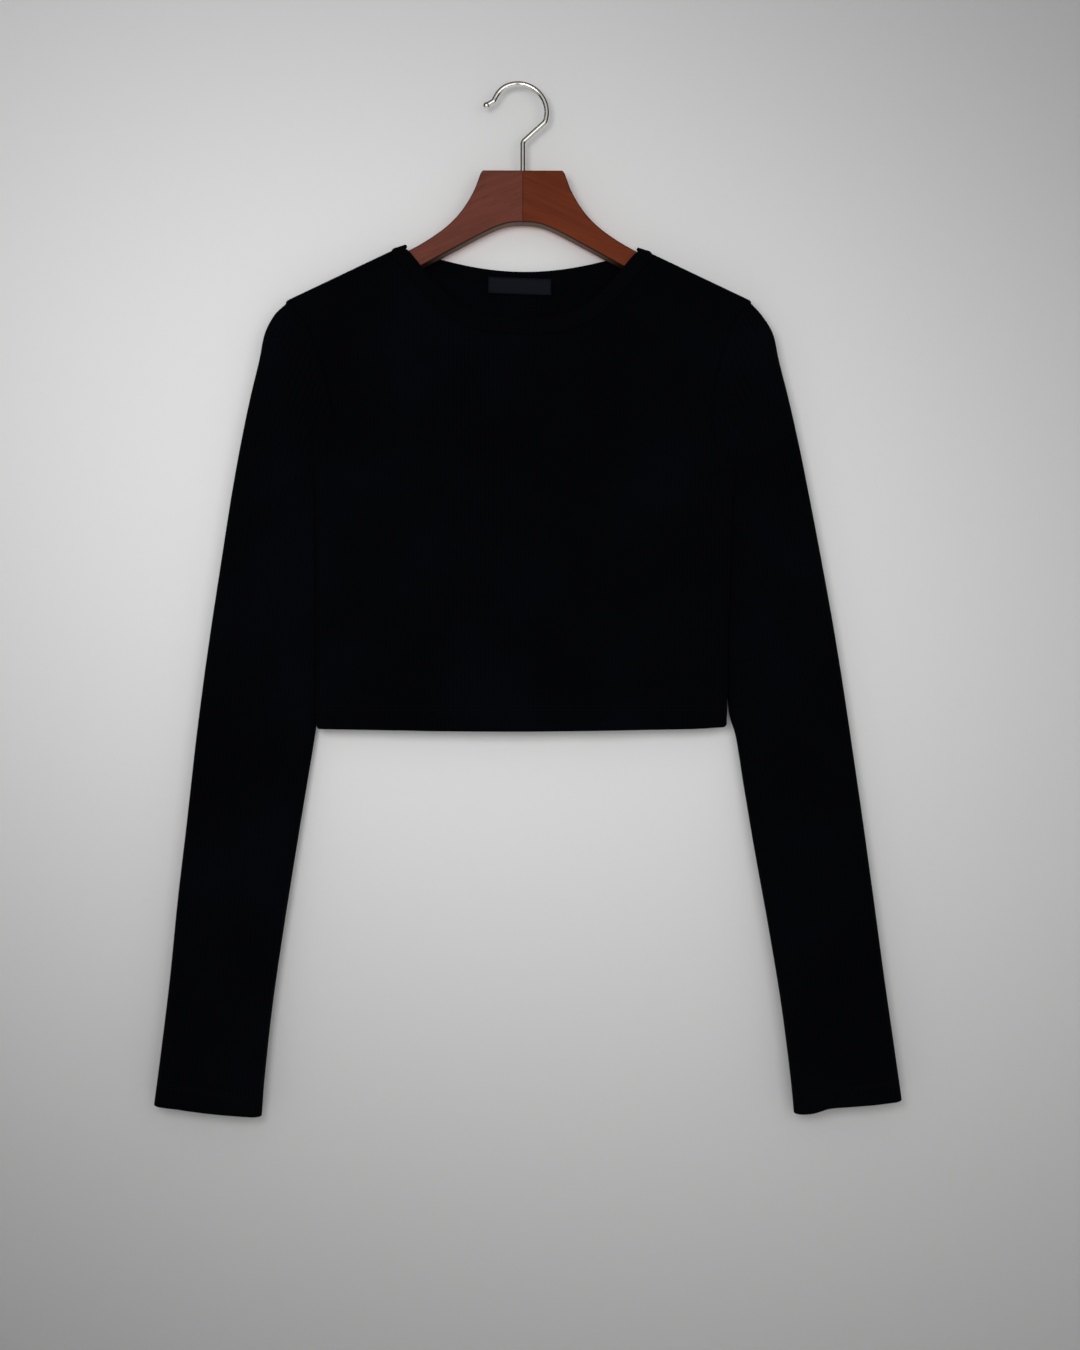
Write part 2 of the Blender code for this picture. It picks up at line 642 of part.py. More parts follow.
def wood_outline():
    """One half of the hanger seen from the front: (distance from the joint, z)."""
    outline = [(JOINT_GAP / 2, WOOD_TOP_Z), (WOOD_TOP_HALF, WOOD_TOP_Z)]
    outline += [(point.half, point.z) for point in FLANK]
    tip_z = ARM_TOP_TIP.z
    slope = atan2(FLANK[-1].z - tip_z, ARM_TOP_TIP.half - FLANK[-1].half)
    radius = ARM_HEIGHT / 2
    centre_half = ARM_TOP_TIP.half - radius * sin(slope)
    centre_z = tip_z - radius * cos(slope)
    for k in range(ARM_TIP_STEPS + 1):
        angle = pi / 2 - slope - pi * k / ARM_TIP_STEPS
        outline.append((centre_half + radius * cos(angle), centre_z + radius * sin(angle)))
    outline += [(point.half, point.z) for point in UNDERSIDE]
    outline.append((JOINT_GAP / 2, ARCH_Z))
    return outline


def make_wood_half(name, direction, collection, materials):
    mesh = bmesh.new()
    corners = [
        mesh.verts.new((WOOD_X + direction * half, -WOOD_THICK / 2, z))
        for half, z in wood_outline()
    ]
    bmesh.ops.rotate(
        mesh,
        verts=corners,
        cent=(WOOD_X, 0, WOOD_TOP_Z),
        matrix=Matrix.Rotation(-WOOD_TILT, 3, "Y"),
    )
    face = mesh.faces.new(corners)
    moved = bmesh.ops.extrude_face_region(mesh, geom=[face])["geom"]
    bmesh.ops.translate(
        mesh,
        verts=[item for item in moved if isinstance(item, bmesh.types.BMVert)],
        vec=(0, WOOD_THICK, 0),
    )
    bmesh.ops.recalc_face_normals(mesh, faces=mesh.faces)
    rim = []
    for edge in mesh.edges:
        level = abs(edge.verts[0].co.y - edge.verts[1].co.y) < WOOD_EDGE
        at_joint = all(abs(vert.co.x - WOOD_X) < JOINT_GAP for vert in edge.verts)
        if level and not at_joint:
            rim.append(edge)
    bmesh.ops.bevel(
        mesh, geom=rim, offset=WOOD_EDGE, segments=2, profile=0.5, affect="EDGES", material=-1
    )
    data = bpy.data.meshes.new(name)
    mesh.to_mesh(data)
    mesh.free()
    return place_mesh(name, data, materials["wood"], collection)


def make_stem_hole(woods):
    """A blind hole for the hook's stem, half of it in each half of the hanger."""
    cutters = bpy.data.collections.new("cutters")
    bpy.context.scene.collection.children.link(cutters)
    mesh = bmesh.new()
    bmesh.ops.create_cone(
        mesh,
        cap_ends=True,
        segments=12,
        radius1=HOLE_RADIUS,
        radius2=HOLE_RADIUS,
        depth=2 * (STEM_DEPTH + SEAM_GAP),
    )
    data = bpy.data.meshes.new("stem_hole")
    mesh.to_mesh(data)
    mesh.free()
    cutter = bpy.data.objects.new("stem_hole", data)
    cutter.location = (WOOD_X, 0, WOOD_TOP_Z)
    cutter.hide_render = True
    cutter.display_type = "WIRE"
    cutters.objects.link(cutter)
    for wood in woods:
        cut = wood.modifiers.new("stem hole", "BOOLEAN")
        cut.object = cutter
        cut.operation = "DIFFERENCE"
        cut.solver = "EXACT"


def hook_route():
    """(x, z, radius share) along the wire: stem, slanted run, crown, kink and ball."""
    route = [(WOOD_X, WOOD_TOP_Z - STEM_DEPTH, 1.0), (WOOD_X, STEM_TOP_Z, 1.0)]
    centre_z = -HOOK_RADIUS + WIRE / 2
    for k in range(HOOK_STEPS + 1):
        angle = lerp(HOOK_START, HOOK_END, k / HOOK_STEPS)
        route.append((HOOK_RADIUS * cos(angle), centre_z + HOOK_RADIUS * sin(angle), 1.0))
    last = Vector(route[-1][:2])
    ball = Vector(BALL_AT)
    run = (ball - last).normalized()
    neck = ball - run * BALL_RADIUS
    route.append((neck.x, neck.y, 1.0))
    for k in range(1, BALL_STEPS):
        angle = pi * k / BALL_STEPS
        place = ball - run * BALL_RADIUS * cos(angle)
        route.append((place.x, place.y, BALL_RADIUS * sin(angle) / (WIRE / 2)))
    return route


def make_hook(collection, materials):
    curve = bpy.data.curves.new("hanger_hook", "CURVE")
    curve.dimensions = "3D"
    curve.bevel_depth = WIRE / 2
    curve.bevel_resolution = HOOK_SIDES
    curve.use_fill_caps = True
    spline = curve.splines.new("POLY")
    route = hook_route()
    spline.points.add(len(route) - 1)
    for point, (x, z, share) in zip(spline.points, route):
        point.co = (x, 0, z, 1)
        point.radius = share
    hook = bpy.data.objects.new("hanger_hook", curve)
    curve.materials.append(materials["hook"])
    collection.objects.link(hook)


def make_material(name, colour, roughness, metallic=0.0):
    material = bpy.data.materials.new(name)
    material.use_nodes = True
    shader = material.node_tree.nodes["Principled BSDF"]
    shader.inputs["Base Color"].default_value = colour
    shader.inputs["Roughness"].default_value = roughness
    shader.inputs["Metallic"].default_value = metallic
    return material


def place_mesh(name, data, material, collection):
    data.shade_smooth()
    data.set_sharp_from_angle(angle=radians(40))
    data.materials.append(material)
    placed = bpy.data.objects.new(name, data)
    collection.objects.link(placed)
    return placed


def clear_scene():
    for item in list(bpy.data.objects):
        bpy.data.objects.remove(item, do_unlink=True)


def main():
    clear_scene()
    collection = bpy.data.collections.new("crop_top_on_hanger")
    bpy.context.scene.collection.children.link(collection)
    materials = {
        "cloth": make_material("black rib jersey", BLACK, 0.9),
        "label": make_material("navy woven label", NAVY, 0.7),
        "wood": make_material("stained wood", WALNUT, 0.42),
        "hook": make_material("chromed wire", CHROME, 0.18, metallic=1.0),
    }
    grids, normals = make_torso_and_sleeves(collection, materials)
    make_neckband(grids, normals, collection, materials)
    make_label(collection, materials)
    woods = [
        make_wood_half("hanger_wood_left", -1, collection, materials),
        make_wood_half("hanger_wood_right", 1, collection, materials),
    ]
    make_stem_hole(woods)
    make_hook(collection, materials)


main()
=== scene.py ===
from collections import namedtuple
from math import atan2, ceil, cos, hypot, pi, radians, sin, sqrt, tan

import bmesh
import bpy
from bpy.props import FloatProperty, FloatVectorProperty, PointerProperty
from mathutils import Matrix, Vector


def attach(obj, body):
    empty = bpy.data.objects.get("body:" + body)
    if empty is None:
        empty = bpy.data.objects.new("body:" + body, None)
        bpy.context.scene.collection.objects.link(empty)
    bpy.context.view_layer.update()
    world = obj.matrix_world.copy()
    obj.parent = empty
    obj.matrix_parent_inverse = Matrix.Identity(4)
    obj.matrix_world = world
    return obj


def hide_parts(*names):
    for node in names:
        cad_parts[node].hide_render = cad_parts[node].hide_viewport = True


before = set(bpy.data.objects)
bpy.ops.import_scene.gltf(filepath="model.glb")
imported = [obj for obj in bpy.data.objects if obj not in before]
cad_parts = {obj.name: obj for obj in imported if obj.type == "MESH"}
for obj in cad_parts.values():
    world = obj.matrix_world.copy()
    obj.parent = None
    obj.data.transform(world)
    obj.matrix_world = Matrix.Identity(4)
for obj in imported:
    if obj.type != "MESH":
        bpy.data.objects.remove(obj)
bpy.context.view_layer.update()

bl_info = {
    "name": "Crop top on a hanger",
    "version": (1, 0, 0),
    "blender": (4, 5, 0),
    "location": "3D View > Sidebar > Crop top",
    "description": "Cloth, hanger and studio for a long-sleeved crop top hung on a wooden hanger",
    "category": "Object",
}

# ---------------------------------------------------------------- cloth: cut and hang
CAD_WALL = 0.0014
SEAM_GAP = 0.0003
TIP_RADIUS = 0.0024  # tightest bend of the cloth's outer face where it folds at an edge
FRONT = -1
BACK = 1
LEFT = 0
RIGHT = 1

NECK_POINT_X = (-0.0945, 0.1003)
SHOULDER_SLOPE = radians(25.4)
SHOULDER_ROUND = 0.005  # how far below the shoulder line the panel has turned flat
SIDE_ROUND = 0.006


def table(kind, *rows):
    """Rows given in ten-thousandths: tenths of a millimetre, or hundredths of a per cent."""
    return tuple(kind(*(number / 10000 for number in row)) for row in rows)


# The torso's sides and its half depths at the middle and next to them, from the hem up to the
# underarm and from there up to the shoulder.
TorsoRow = namedtuple("TorsoRow", "z left right mid_depth side_depth")
SIDE_ROWS = table(
    TorsoRow,
    (-4892, -1515, 1568, 98, 50), (-4879, -1527, 1583, 98, 50),
    (-4852, -1533, 1586, 98, 50), (-4750, -1534, 1589, 97, 49),
    (-4600, -1533, 1592, 96, 48), (-4100, -1531, 1598, 92, 45),
    (-3500, -1531, 1618, 90, 44), (-3200, -1535, 1630, 90, 45),
    (-3050, -1546, 1642, 90, 45), (-2918, -1564, 1658, 90, 46),
)
ARMHOLE_ROWS = SIDE_ROWS[-1:] + table(
    TorsoRow,
    (-2830, -1482, 1580, 90, 50), (-2700, -1412, 1496, 90, 56),
    (-2484, -1404, 1470, 91, 64), (-2310, -1440, 1492, 92, 72),
    (-2127, -1486, 1523, 93, 80), (-1975, -1535, 1565, 94, 86),
    (-1838, -1596, 1618, 94, 89), (-1633, -1748, 1759, 94, 89),
)
HEM_Z = SIDE_ROWS[0].z
UNDERARM_Z = SIDE_ROWS[-1].z
SHOULDER_Z = ARMHOLE_ROWS[-1].z
SHOULDER_X = (ARMHOLE_ROWS[-1].left, ARMHOLE_ROWS[-1].right)

# The hem and the cuffs lie a little above or below their straight lines: the hem by x, the cuffs by
# share from the outer fold to the inner one. Both fade out over the distance given.
EdgePoint = namedtuple("EdgePoint", "at lift")
HEM_LINE = table(
    EdgePoint,
    (-1580, 8), (-1505, 6), (-897, -3), (-593, -9), (167, -11),
    (1003, 1), (1383, 9), (1497, 17), (1600, 21),
)
CUFF_LINES = (
    table(EdgePoint, (0, 0), (2500, -8), (5000, -17), (7200, -18), (10000, -14)),
    table(EdgePoint, (0, 37), (3100, 30), (6900, 32), (7650, 18), (8400, 6), (10000, 8)),
)
HEM_FADE = 0.025
CUFF_FADE = 0.035

# The neckline drops from the neck points by depth * (1 - x**flat) ** steep.
Neckline = namedtuple("Neckline", "depth flat steep")
NECKLINES = {FRONT: Neckline(0.0570, 3.0, 1.30), BACK: Neckline(0.0178, 2.0, 1.2)}

# One row for each ring of the sleeves: where it meets the outer and the inner fold, how far
# behind the middle plane its inner half lies, its half depths, and how much of the armhole's
# curve and of its points' places it still has.
Ring = namedtuple(
    "Ring",
    "outer_z outer_left outer_right inner_z inner_left inner_right behind outer_depth inner_depth"
    " curve like",
)
SLEEVE_RINGS = table(
    Ring,
    (-1633, -1748, 1759, -2918, -1564, 1658, 0, 89, 46, 10000, 10000),
    (-1743, -1849, 1850, -2990, -1554, 1649, 16, 86, 40, 5000, 8000),
    (-1884, -1923, 1936, -3090, -1537, 1632, 34, 84, 37, 2400, 5000),
    (-2082, -1964, 1980, -3220, -1521, 1615, 46, 80, 35, 900, 2500),
    (-2386, -2037, 2057, -3440, -1518, 1606, 53, 74, 34, 200, 1000),
    (-2766, -2115, 2142, -3700, -1519, 1602, 54, 69, 34, 0, 0),
    (-3146, -2182, 2218, -4000, -1518, 1592, 54, 66, 34, 0, 0),
    (-3602, -2253, 2305, -4340, -1519, 1588, 54, 65, 34, 0, 0),
    (-4058, -2323, 2388, -4650, -1522, 1598, 52, 65, 38, 0, 0),
    (-4286, -2356, 2426, -4795, -1532, 1615, 51, 65, 41, 0, 0),
    (-4514, -2388, 2463, -4940, -1549, 1659, 46, 65, 45, 0, 0),
    (-4970, -2446, 2531, -5300, -1607, 1716, 36, 66, 54, 0, 0),
    (-5578, -2514, 2619, -5810, -1689, 1800, 22, 67, 62, 0, 0),
    (-6186, -2585, 2703, -6380, -1778, 1902, 12, 69, 67, 0, 0),
    (-6794, -2646, 2785, -6960, -1862, 1997, 6, 71, 70, 0, 0),
    (-7402, -2720, 2872, -7530, -1925, 2070, 0, 73, 73, 0, 0),
    (-7735, -2764, 2914, -7808, -1947, 2096, 0, 76, 76, 0, 0),
)
# Shares across a ring between which it steps behind the torso, and where the armhole's curve fades.
STEP_BACK = (0.10, 0.85)
CURVE_END = (0.6, 1.0)
STRAIGHT_RINGS = (4, -1)  # the knit runs along the outer fold between these two rings
SLEEVE_ROUND = 0.007

# Steps of the cloth's grids: columns across, rows up, rings along and points round a sleeve.
EDGE_STEPS = (0.0, 0.0006, 0.0014, 0.0026, 0.0042)
SHOULDER_STEPS = 22
NECK_STEPS = 58
ROUND_STEPS = 6
LOW_STEPS = 66
HIGH_STEPS = tuple(0.012 + 0.988 * (k / 36) ** 1.25 for k in range(1, 37))
LAYER_STEPS = len(HIGH_STEPS) + ROUND_STEPS
RING_STEP = 0.0042
LEAST_SQUARE = 0.2  # least sine used for the angle between a ring and the fold that it ends on

# Creases: from one end to the other, how far the middle bows out, half width and depth.
# A negative depth stands proud. Those of the panels are in x and z.
FOLD_FADE = 0.022  # they flatten out over this distance from the side seams
Crease = namedtuple("Crease", "x0 z0 x1 z1 bow width depth")
PANEL_CREASES = {
    FRONT: table(
        Crease,
        (-1180, -3000, -700, -2150, 0, 160, 16), (1280, -2960, 820, -2120, 0, 150, 14),
        (-1120, -3850, -880, -3300, 0, 200, 19), (-520, -4890, -400, -4000, 0, 150, 12),
        (340, -4890, 260, -4200, 0, 180, 14), (1040, -4890, 1120, -3800, 0, 150, 16),
        (-1400, -2680, -980, -2220, 40, 60, 9), (1420, -2660, 1040, -2140, -40, 60, 9),
        (-1340, -2500, -1120, -1960, 30, 50, -6), (1340, -2460, 1160, -2000, -30, 50, -6),
        (-600, -1820, -880, -2380, 40, 90, 7), (720, -1860, 920, -2460, -50, 100, 7),
        (-1360, -4200, -1040, -3520, 60, 70, -8), (-200, -3000, 120, -3720, 80, 120, 6),
        (1320, -4300, 1240, -3300, 40, 80, 8), (700, -4890, 640, -4520, 20, 80, -9),
        (-940, -4890, -1000, -4460, 20, 90, -9), (-60, -4890, -40, -4620, 10, 100, -8),
    ),
    BACK: table(
        Crease,
        (-1040, -2600, -520, -1900, 0, 150, 14), (1120, -2620, 600, -1920, 0, 160, 15),
        (100, -3300, -60, -2300, 0, 200, 13), (-700, -4890, -600, -3900, 0, 170, 15),
        (600, -4890, 700, -4050, 0, 160, 13), (-1380, -2700, -920, -2180, 40, 60, 9),
        (1440, -2680, 1000, -2200, -50, 70, 10), (-1220, -2460, -1000, -1880, 30, 60, -6),
        (1280, -2500, 1080, -1920, -30, 50, -7), (-300, -1720, -120, -2440, -40, 100, 7),
        (460, -1680, 260, -2320, 40, 90, 6), (-1260, -4300, -1140, -3360, 60, 80, 9),
        (1200, -4400, 1280, -3520, -50, 90, 8), (140, -4890, 180, -4400, 20, 100, -9),
        (-1080, -4890, -1040, -4500, 20, 90, -8), (1040, -4890, 1000, -4560, 20, 80, -8),
    ),
}
# Those of the sleeves are in the flat cloth: across from the outer fold, positive on the front
# layer and negative on the back one, and down from the shoulder point.
SLEEVE_CREASES = {
    LEFT: table(
        Crease,
        (860, 600, 400, 1500, 60, 80, 10), (820, 860, 300, 1960, -70, 90, 11),
        (700, 1500, 220, 2320, 60, 100, -9), (620, 2080, 140, 2620, 50, 90, 10),
        (660, 2620, 200, 3180, -50, 100, 11), (580, 3180, 120, 3520, 40, 90, -9),
        (600, 3660, 240, 4360, -60, 100, 10), (500, 4460, 140, 5000, 50, 100, 9),
        (640, 4980, 400, 5900, 40, 90, -8), (300, 5400, 200, 6120, -30, 90, 10),
        (-800, 700, -360, 1700, 60, 90, 11), (-700, 1300, -240, 2140, -60, 90, 10),
        (-640, 2040, -140, 2620, 50, 90, -9), (-620, 2620, -180, 3300, 50, 100, 11),
        (-540, 3500, -140, 3980, -40, 100, 10), (-600, 4200, -220, 5000, 60, 100, -9),
        (-400, 5200, -300, 6120, -30, 90, 9),
    ),
    RIGHT: table(
        Crease,
        (900, 640, 440, 1600, 60, 90, 10), (800, 1100, 260, 2060, -60, 90, -9),
        (720, 1600, 200, 2460, 60, 100, 11), (600, 2400, 160, 2900, 50, 90, 9),
        (680, 2860, 220, 3500, -50, 110, 11), (560, 3520, 140, 3840, 40, 90, -9),
        (620, 3960, 220, 4620, -60, 100, 10), (500, 4760, 180, 5400, 50, 100, 8),
        (600, 5360, 520, 6120, 30, 90, 10), (260, 5560, 220, 6120, -30, 90, -8),
        (-840, 760, -380, 1660, 60, 90, 10), (-720, 1400, -220, 2260, -60, 100, 11),
        (-660, 2220, -180, 2760, 50, 90, -9), (-600, 2900, -200, 3520, 50, 100, 10),
        (-560, 3740, -160, 4300, -40, 100, 11), (-580, 4460, -240, 5200, 60, 100, -8),
        (-420, 5400, -340, 6120, -30, 90, 9),
    ),
}

SEAM_WIDTH = 0.0026  # the cloth dips towards a seam over this distance
SEAM_DIP = 0.0007
SEAM_START = 0.010  # the armhole's dip begins over this height above the underarm
DEEPEST_DIP = 0.8  # of the panel's own depth
NECK_STEP = 0.0005
TUCK = 0.0011  # the sleeve's underarm passes behind the front by this much next to its seam
TUCK_START = 0.0015
TUCK_END = 0.030
TUCK_SHARES = (0.60, 0.80)
SHOULDER_NOTCH = 0.0011  # the sleeve's head starts this much below the end of the shoulder line
NOTCH_START = 0.0014
NOTCH_LENGTH = 0.014
NOTCH_REACH = 0.12
TURN_UP = 0.0180  # height of the turned hem and cuffs
TURN_UP_STEP = 0.0003
TURN_UP_FADE = 0.0012
PLAIN_FOLD = 0.012  # a sleeve's creases fade out this near to its folds
PLAIN_HEAD = 0.02  # and this near to its armhole
SLEEVE_MIDDLE = 0.002  # how far behind the torso's middle plane the sleeves' own one lies
SAME_POINT = 1e-6

BAND_WIDTH = 0.0117
BAND_LAP = 0.0010  # the band starts this far below the panel's neckline
BAND_THICK = 0.0026
BAND_TURN = 0.034  # the band's direction is averaged over this distance both ways
BAND_LEAN = 0.05  # how much the band leans in where it crosses the shoulder
BAND_SIDE_POINTS = 7
BAND_SIDE = 0.86  # share of the band's width that lies flat; the rest is its fold
BAND_SIDE_HEIGHTS = (0.62, 0.43, 0.12)  # of its sides: at the seam, the swell, where that starts
BAND_FOLD_POINTS = 5
BAND_FOLD_HEIGHT = 0.80
BAND_BULGE = 0.0008  # its outer face stands this much prouder just above the shoulder seam
BAND_BULGE_AT = 0.2  # share of its width

LABEL_WIDTH = 0.048
LABEL_HEIGHT = 0.0125
LABEL_X = 0.0012
LABEL_TOP_Z = -0.1432
LABEL_DROOP = 0.0018  # its right end sits this much lower
LABEL_THICK = 0.0007
LABEL_STEPS = (40, 12)
LABEL_CURL = (0.0006, 0.0004)  # how far its ends and its lower edge stand off

# ---------------------------------------------------------------- hanger
WOOD_X = 0.0036
WOOD_TILT = radians(-0.2)
WOOD_THICK = 0.013
JOINT_GAP = 0.0001
WOOD_TOP_Z = -0.0660
WOOD_TOP_HALF = 0.0300
ARCH_Z = -0.1048
ARM_HEIGHT = 0.0138
ARM_TIP_STEPS = 12
OUTLINE_STEPS = 4
FLAT_INSET = 0.0003
UNDER_SHADED = (0.060, 0.074)  # distances from the joint
UNDER_FACES = (-0.2, 0.3)  # an underside's normal lies below the first, within the second sideways
NEAR_JOINT = 0.0006
OUTLINE_LEAST = 20  # the flat faces have more corners than this
JOINT_LINE = (0.0003, 0.0008)

WoodPoint = namedtuple("WoodPoint", "half z")
FLANK = table(
    WoodPoint,
    (318, -682), (338, -737), (361, -797), (392, -858), (428, -918), (472, -979),
    (525, -1039), (590, -1098), (675, -1160), (770, -1220), (850, -1264),
)
ARM_TOP_TIP = WoodPoint(0.1620, -0.1616)
UNDERSIDE = table(
    WoodPoint,
    (760, -1379), (620, -1303), (460, -1217), (310, -1137), (190, -1081), (95, -1054),
)

WIRE = 0.0035
HOOK_RADIUS = 0.0218
HOOK_START = radians(-19)
HOOK_END = radians(155)
HOOK_CLOSE = 0.0013  # the crown's end lies this much nearer its centre
HOOK_CLOSE_AT = (radians(115), radians(155))
HOOK_STEPS = 48
BEND_RADIUS = 0.0035
CROWN_BEND_RADIUS = 0.0060
TIP_BEND_RADIUS = 0.0014
BEND_STEPS = 7
STEM_TOP_Z = -0.0425
STEM_DEPTH = 0.018
BALL_RADIUS = 0.0023
BALL_STEPS = 12
BALL_NECK = 1.25  # the wire ends this many radii before the ball's middle
BALL_AT = (-0.0240, -0.0147)
HOOK_SIDES = 20


def lerp(a, b, t):
    return a + (b - a) * t


def between(value, ends):
    """Where the value lies between two ends, 0 to 1 from the first to the second."""
    return (value - ends[0]) / (ends[1] - ends[0])


def smooth(t):
    t = min(1.0, max(0.0, t))
    return t * t * (3 - 2 * t)


def quarter(distance, radius):
    """Rise of a rounded edge, 0 at the edge and 1 from radius inwards."""
    if distance >= radius:
        return 1.0
    return sqrt(max(0.0, 1 - (1 - max(0.0, distance) / radius) ** 2))


def read_table(rows, places, place):
    """The row at a place, on a smooth curve through the table's rows."""
    place = min(max(place, places[0]), places[-1])
    index = max(k for k in range(len(rows) - 1) if places[k] <= place)
    first, last = max(index - 1, 0), min(index + 2, len(rows) - 1)
    span = places[index + 1] - places[index]
    t = (place - places[index]) / span
    values = []
    for a, b, c, d in zip(rows[first], rows[index], rows[index + 1], rows[last]):
        start = (c - a) / (places[index + 1] - places[first]) * span
        end = (d - b) / (places[last] - places[index]) * span
        value = (2 * t**3 - 3 * t**2 + 1) * b + (t**3 - 2 * t**2 + t) * start
        values.append(value + (3 * t**2 - 2 * t**3) * c + (t**3 - t**2) * end)
    return type(rows[0])(*values)


def edge_lift(line, at):
    """How far the finished edge lies above its straight line."""
    return read_table(line, [point.at for point in line], at).lift


def torso_row(z):
    rows = SIDE_ROWS if z <= UNDERARM_Z else ARMHOLE_ROWS
    return read_table(rows, [row.z for row in rows], z)


def shoulder_z(x):
    """Height of the shoulder line, or of its extension, above x."""
    middle = (SHOULDER_X[0] + SHOULDER_X[1]) / 2
    reach = (x - SHOULDER_X[0]) if x < middle else (SHOULDER_X[1] - x)
    return SHOULDER_Z + reach * tan(SHOULDER_SLOPE)


def shoulder_drop():
    """Height over which the panel turns to the top of the shoulder."""
    return SHOULDER_ROUND / cos(SHOULDER_SLOPE)


def crease_depth(creases, x, z):
    """How far the creases draw the cloth in at this place."""
    total = 0.0
    for crease in creases:
        run_x, run_z = crease.x1 - crease.x0, crease.z1 - crease.z0
        length = hypot(run_x, run_z)
        along = ((x - crease.x0) * run_x + (z - crease.z0) * run_z) / length
        if not -2 * crease.width < along < length + 2 * crease.width:
            continue
        across = ((x - crease.x0) * run_z - (z - crease.z0) * run_x) / length
        share = min(1.0, max(0.0, along / length))
        across -= crease.bow * 4 * share * (1 - share)
        past = max(0.0, -along, along - length)
        reach = hypot(across / crease.width, past / (2 * crease.width))
        total += crease.depth * smooth(1 - reach)
    return total


def panel_depth(side, x, z, plain=False):
    """Half depth of the torso's outer face at a place of the panel's outline."""
    row = torso_row(z)
    middle = (row.left + row.right) / 2
    share = min(1.0, abs(x - middle) / ((row.right - row.left) / 2))
    depth = lerp(row.mid_depth, row.side_depth, share**2)
    ends = torso_row(min(z, UNDERARM_Z))
    over = max(0.0, z - UNDERARM_Z)
    side_distance = min(hypot(x - ends.left, over), hypot(ends.right - x, over))
    shoulder_distance = (shoulder_z(x) - z) * cos(SHOULDER_SLOPE)
    if not plain:
        depth -= crease_depth(PANEL_CREASES[side], x, z) * smooth(side_distance / FOLD_FADE)
        depth += TURN_UP_STEP * smooth((HEM_Z + TURN_UP - z) / TURN_UP_FADE)
    depth *= quarter(side_distance, SIDE_ROUND)
    return max(SEAM_GAP / 4, depth * quarter(shoulder_distance, SHOULDER_ROUND))


def neck_edge(side, x):
    """Height of the panel's neckline at x, between the two shoulders."""
    line = NECKLINES[side]
    left, right = NECK_POINT_X
    share = min(1.0, abs(2 * (x - left) / (right - left) - 1))
    top = lerp(shoulder_z(left), shoulder_z(right), (x - left) / (right - left))
    return top - shoulder_drop() - line.depth * (1 - share**line.flat) ** line.steep


def shoulder_places(which):
    """Distances of the columns from the shoulder's end, close together next to the armhole."""
    width = abs(NECK_POINT_X[which] - SHOULDER_X[which])
    steps = SHOULDER_STEPS - len(EDGE_STEPS) + 1
    wide = [lerp(EDGE_STEPS[-1], width, k / steps) for k in range(1, steps)]
    return list(EDGE_STEPS) + wide


def column_tops(side):
    """(x, z) where each column of the panel ends: on a shoulder line or on the neckline."""
    tops = []
    for distance in shoulder_places(LEFT):
        x = SHOULDER_X[0] + distance
        tops.append((x, shoulder_z(x) - shoulder_drop()))
    for k in range(NECK_STEPS + 1):
        x = lerp(*NECK_POINT_X, k / NECK_STEPS)
        tops.append((x, neck_edge(side, x)))
    for distance in reversed(shoulder_places(RIGHT)):
        x = SHOULDER_X[1] - distance
        tops.append((x, shoulder_z(x) - shoulder_drop()))
    return tops


def column_shares(count, width):
    """Places of the columns across the lower torso, close together where its sides turn."""
    turn = [SIDE_ROUND * (1 - cos(pi / 2 * k / ROUND_STEPS)) / width for k in range(ROUND_STEPS)]
    flat = count - 2 * ROUND_STEPS
    edge = SIDE_ROUND / width
    middle = [lerp(edge, 1 - edge, k / flat) for k in range(flat + 1)]
    return turn + middle + [1 - share for share in reversed(turn)]


def close_steps(first, last, steps):
    """Places from first to last: the edge's close steps, then even ones."""
    edge = [first + step for step in EDGE_STEPS]
    even = steps - len(EDGE_STEPS) + 1
    return edge + [lerp(edge[-1], last, k / even) for k in range(1, even + 1)]


def panel_grid(side):
    """The panel's outer face: {(row, column): point}. Shoulder columns have extra top rows."""
    tops = column_tops(side)
    columns = len(tops) - 1
    lows = {}
    grid = {}
    for column, (top_x, top_z) in enumerate(tops):
        in_shoulder = not SHOULDER_STEPS < column < columns - SHOULDER_STEPS
        heights = close_steps(HEM_Z, UNDERARM_Z, LOW_STEPS)
        heights += [lerp(UNDERARM_Z, top_z, share) for share in HIGH_STEPS]
        if in_shoulder:
            for k in range(1, ROUND_STEPS + 1):
                heights.append(top_z + shoulder_drop() * sin(pi / 2 * k / ROUND_STEPS))
        top_row = torso_row(top_z)
        top_share = (top_x - top_row.left) / (top_row.right - top_row.left)
        top_share = {0: 0.0, columns: 1.0}.get(column, top_share)
        for row, z in enumerate(heights):
            ends = torso_row(z)
            width = ends.right - ends.left
            if row not in lows:
                lows[row] = column_shares(columns, width)
            turn = smooth((z - UNDERARM_Z) / (top_z - UNDERARM_Z))
            x = ends.left + width * lerp(lows[row][column], top_share, turn)
            if z > top_z:
                edge = {0: ends.left, columns: ends.right}
                x = edge.get(column, lerp(x, top_x, smooth((z - top_z) / shoulder_drop())))
            lift = edge_lift(HEM_LINE, x) * (1 - smooth((z - HEM_Z) / HEM_FADE))
            grid[row, column] = Vector((x, side * panel_depth(side, x, z), z + lift))
    return grid


def armhole_edge(side, grid, column):
    """The panel's armhole, from the shoulder down to the underarm: (point, dip of its seam)."""
    rows = [row for row, place in grid if place == column and row >= LOW_STEPS]
    points = [grid[row, column] for row in sorted(rows, reverse=True)]
    return [(point, seam_dip(side, point)) for point in points]


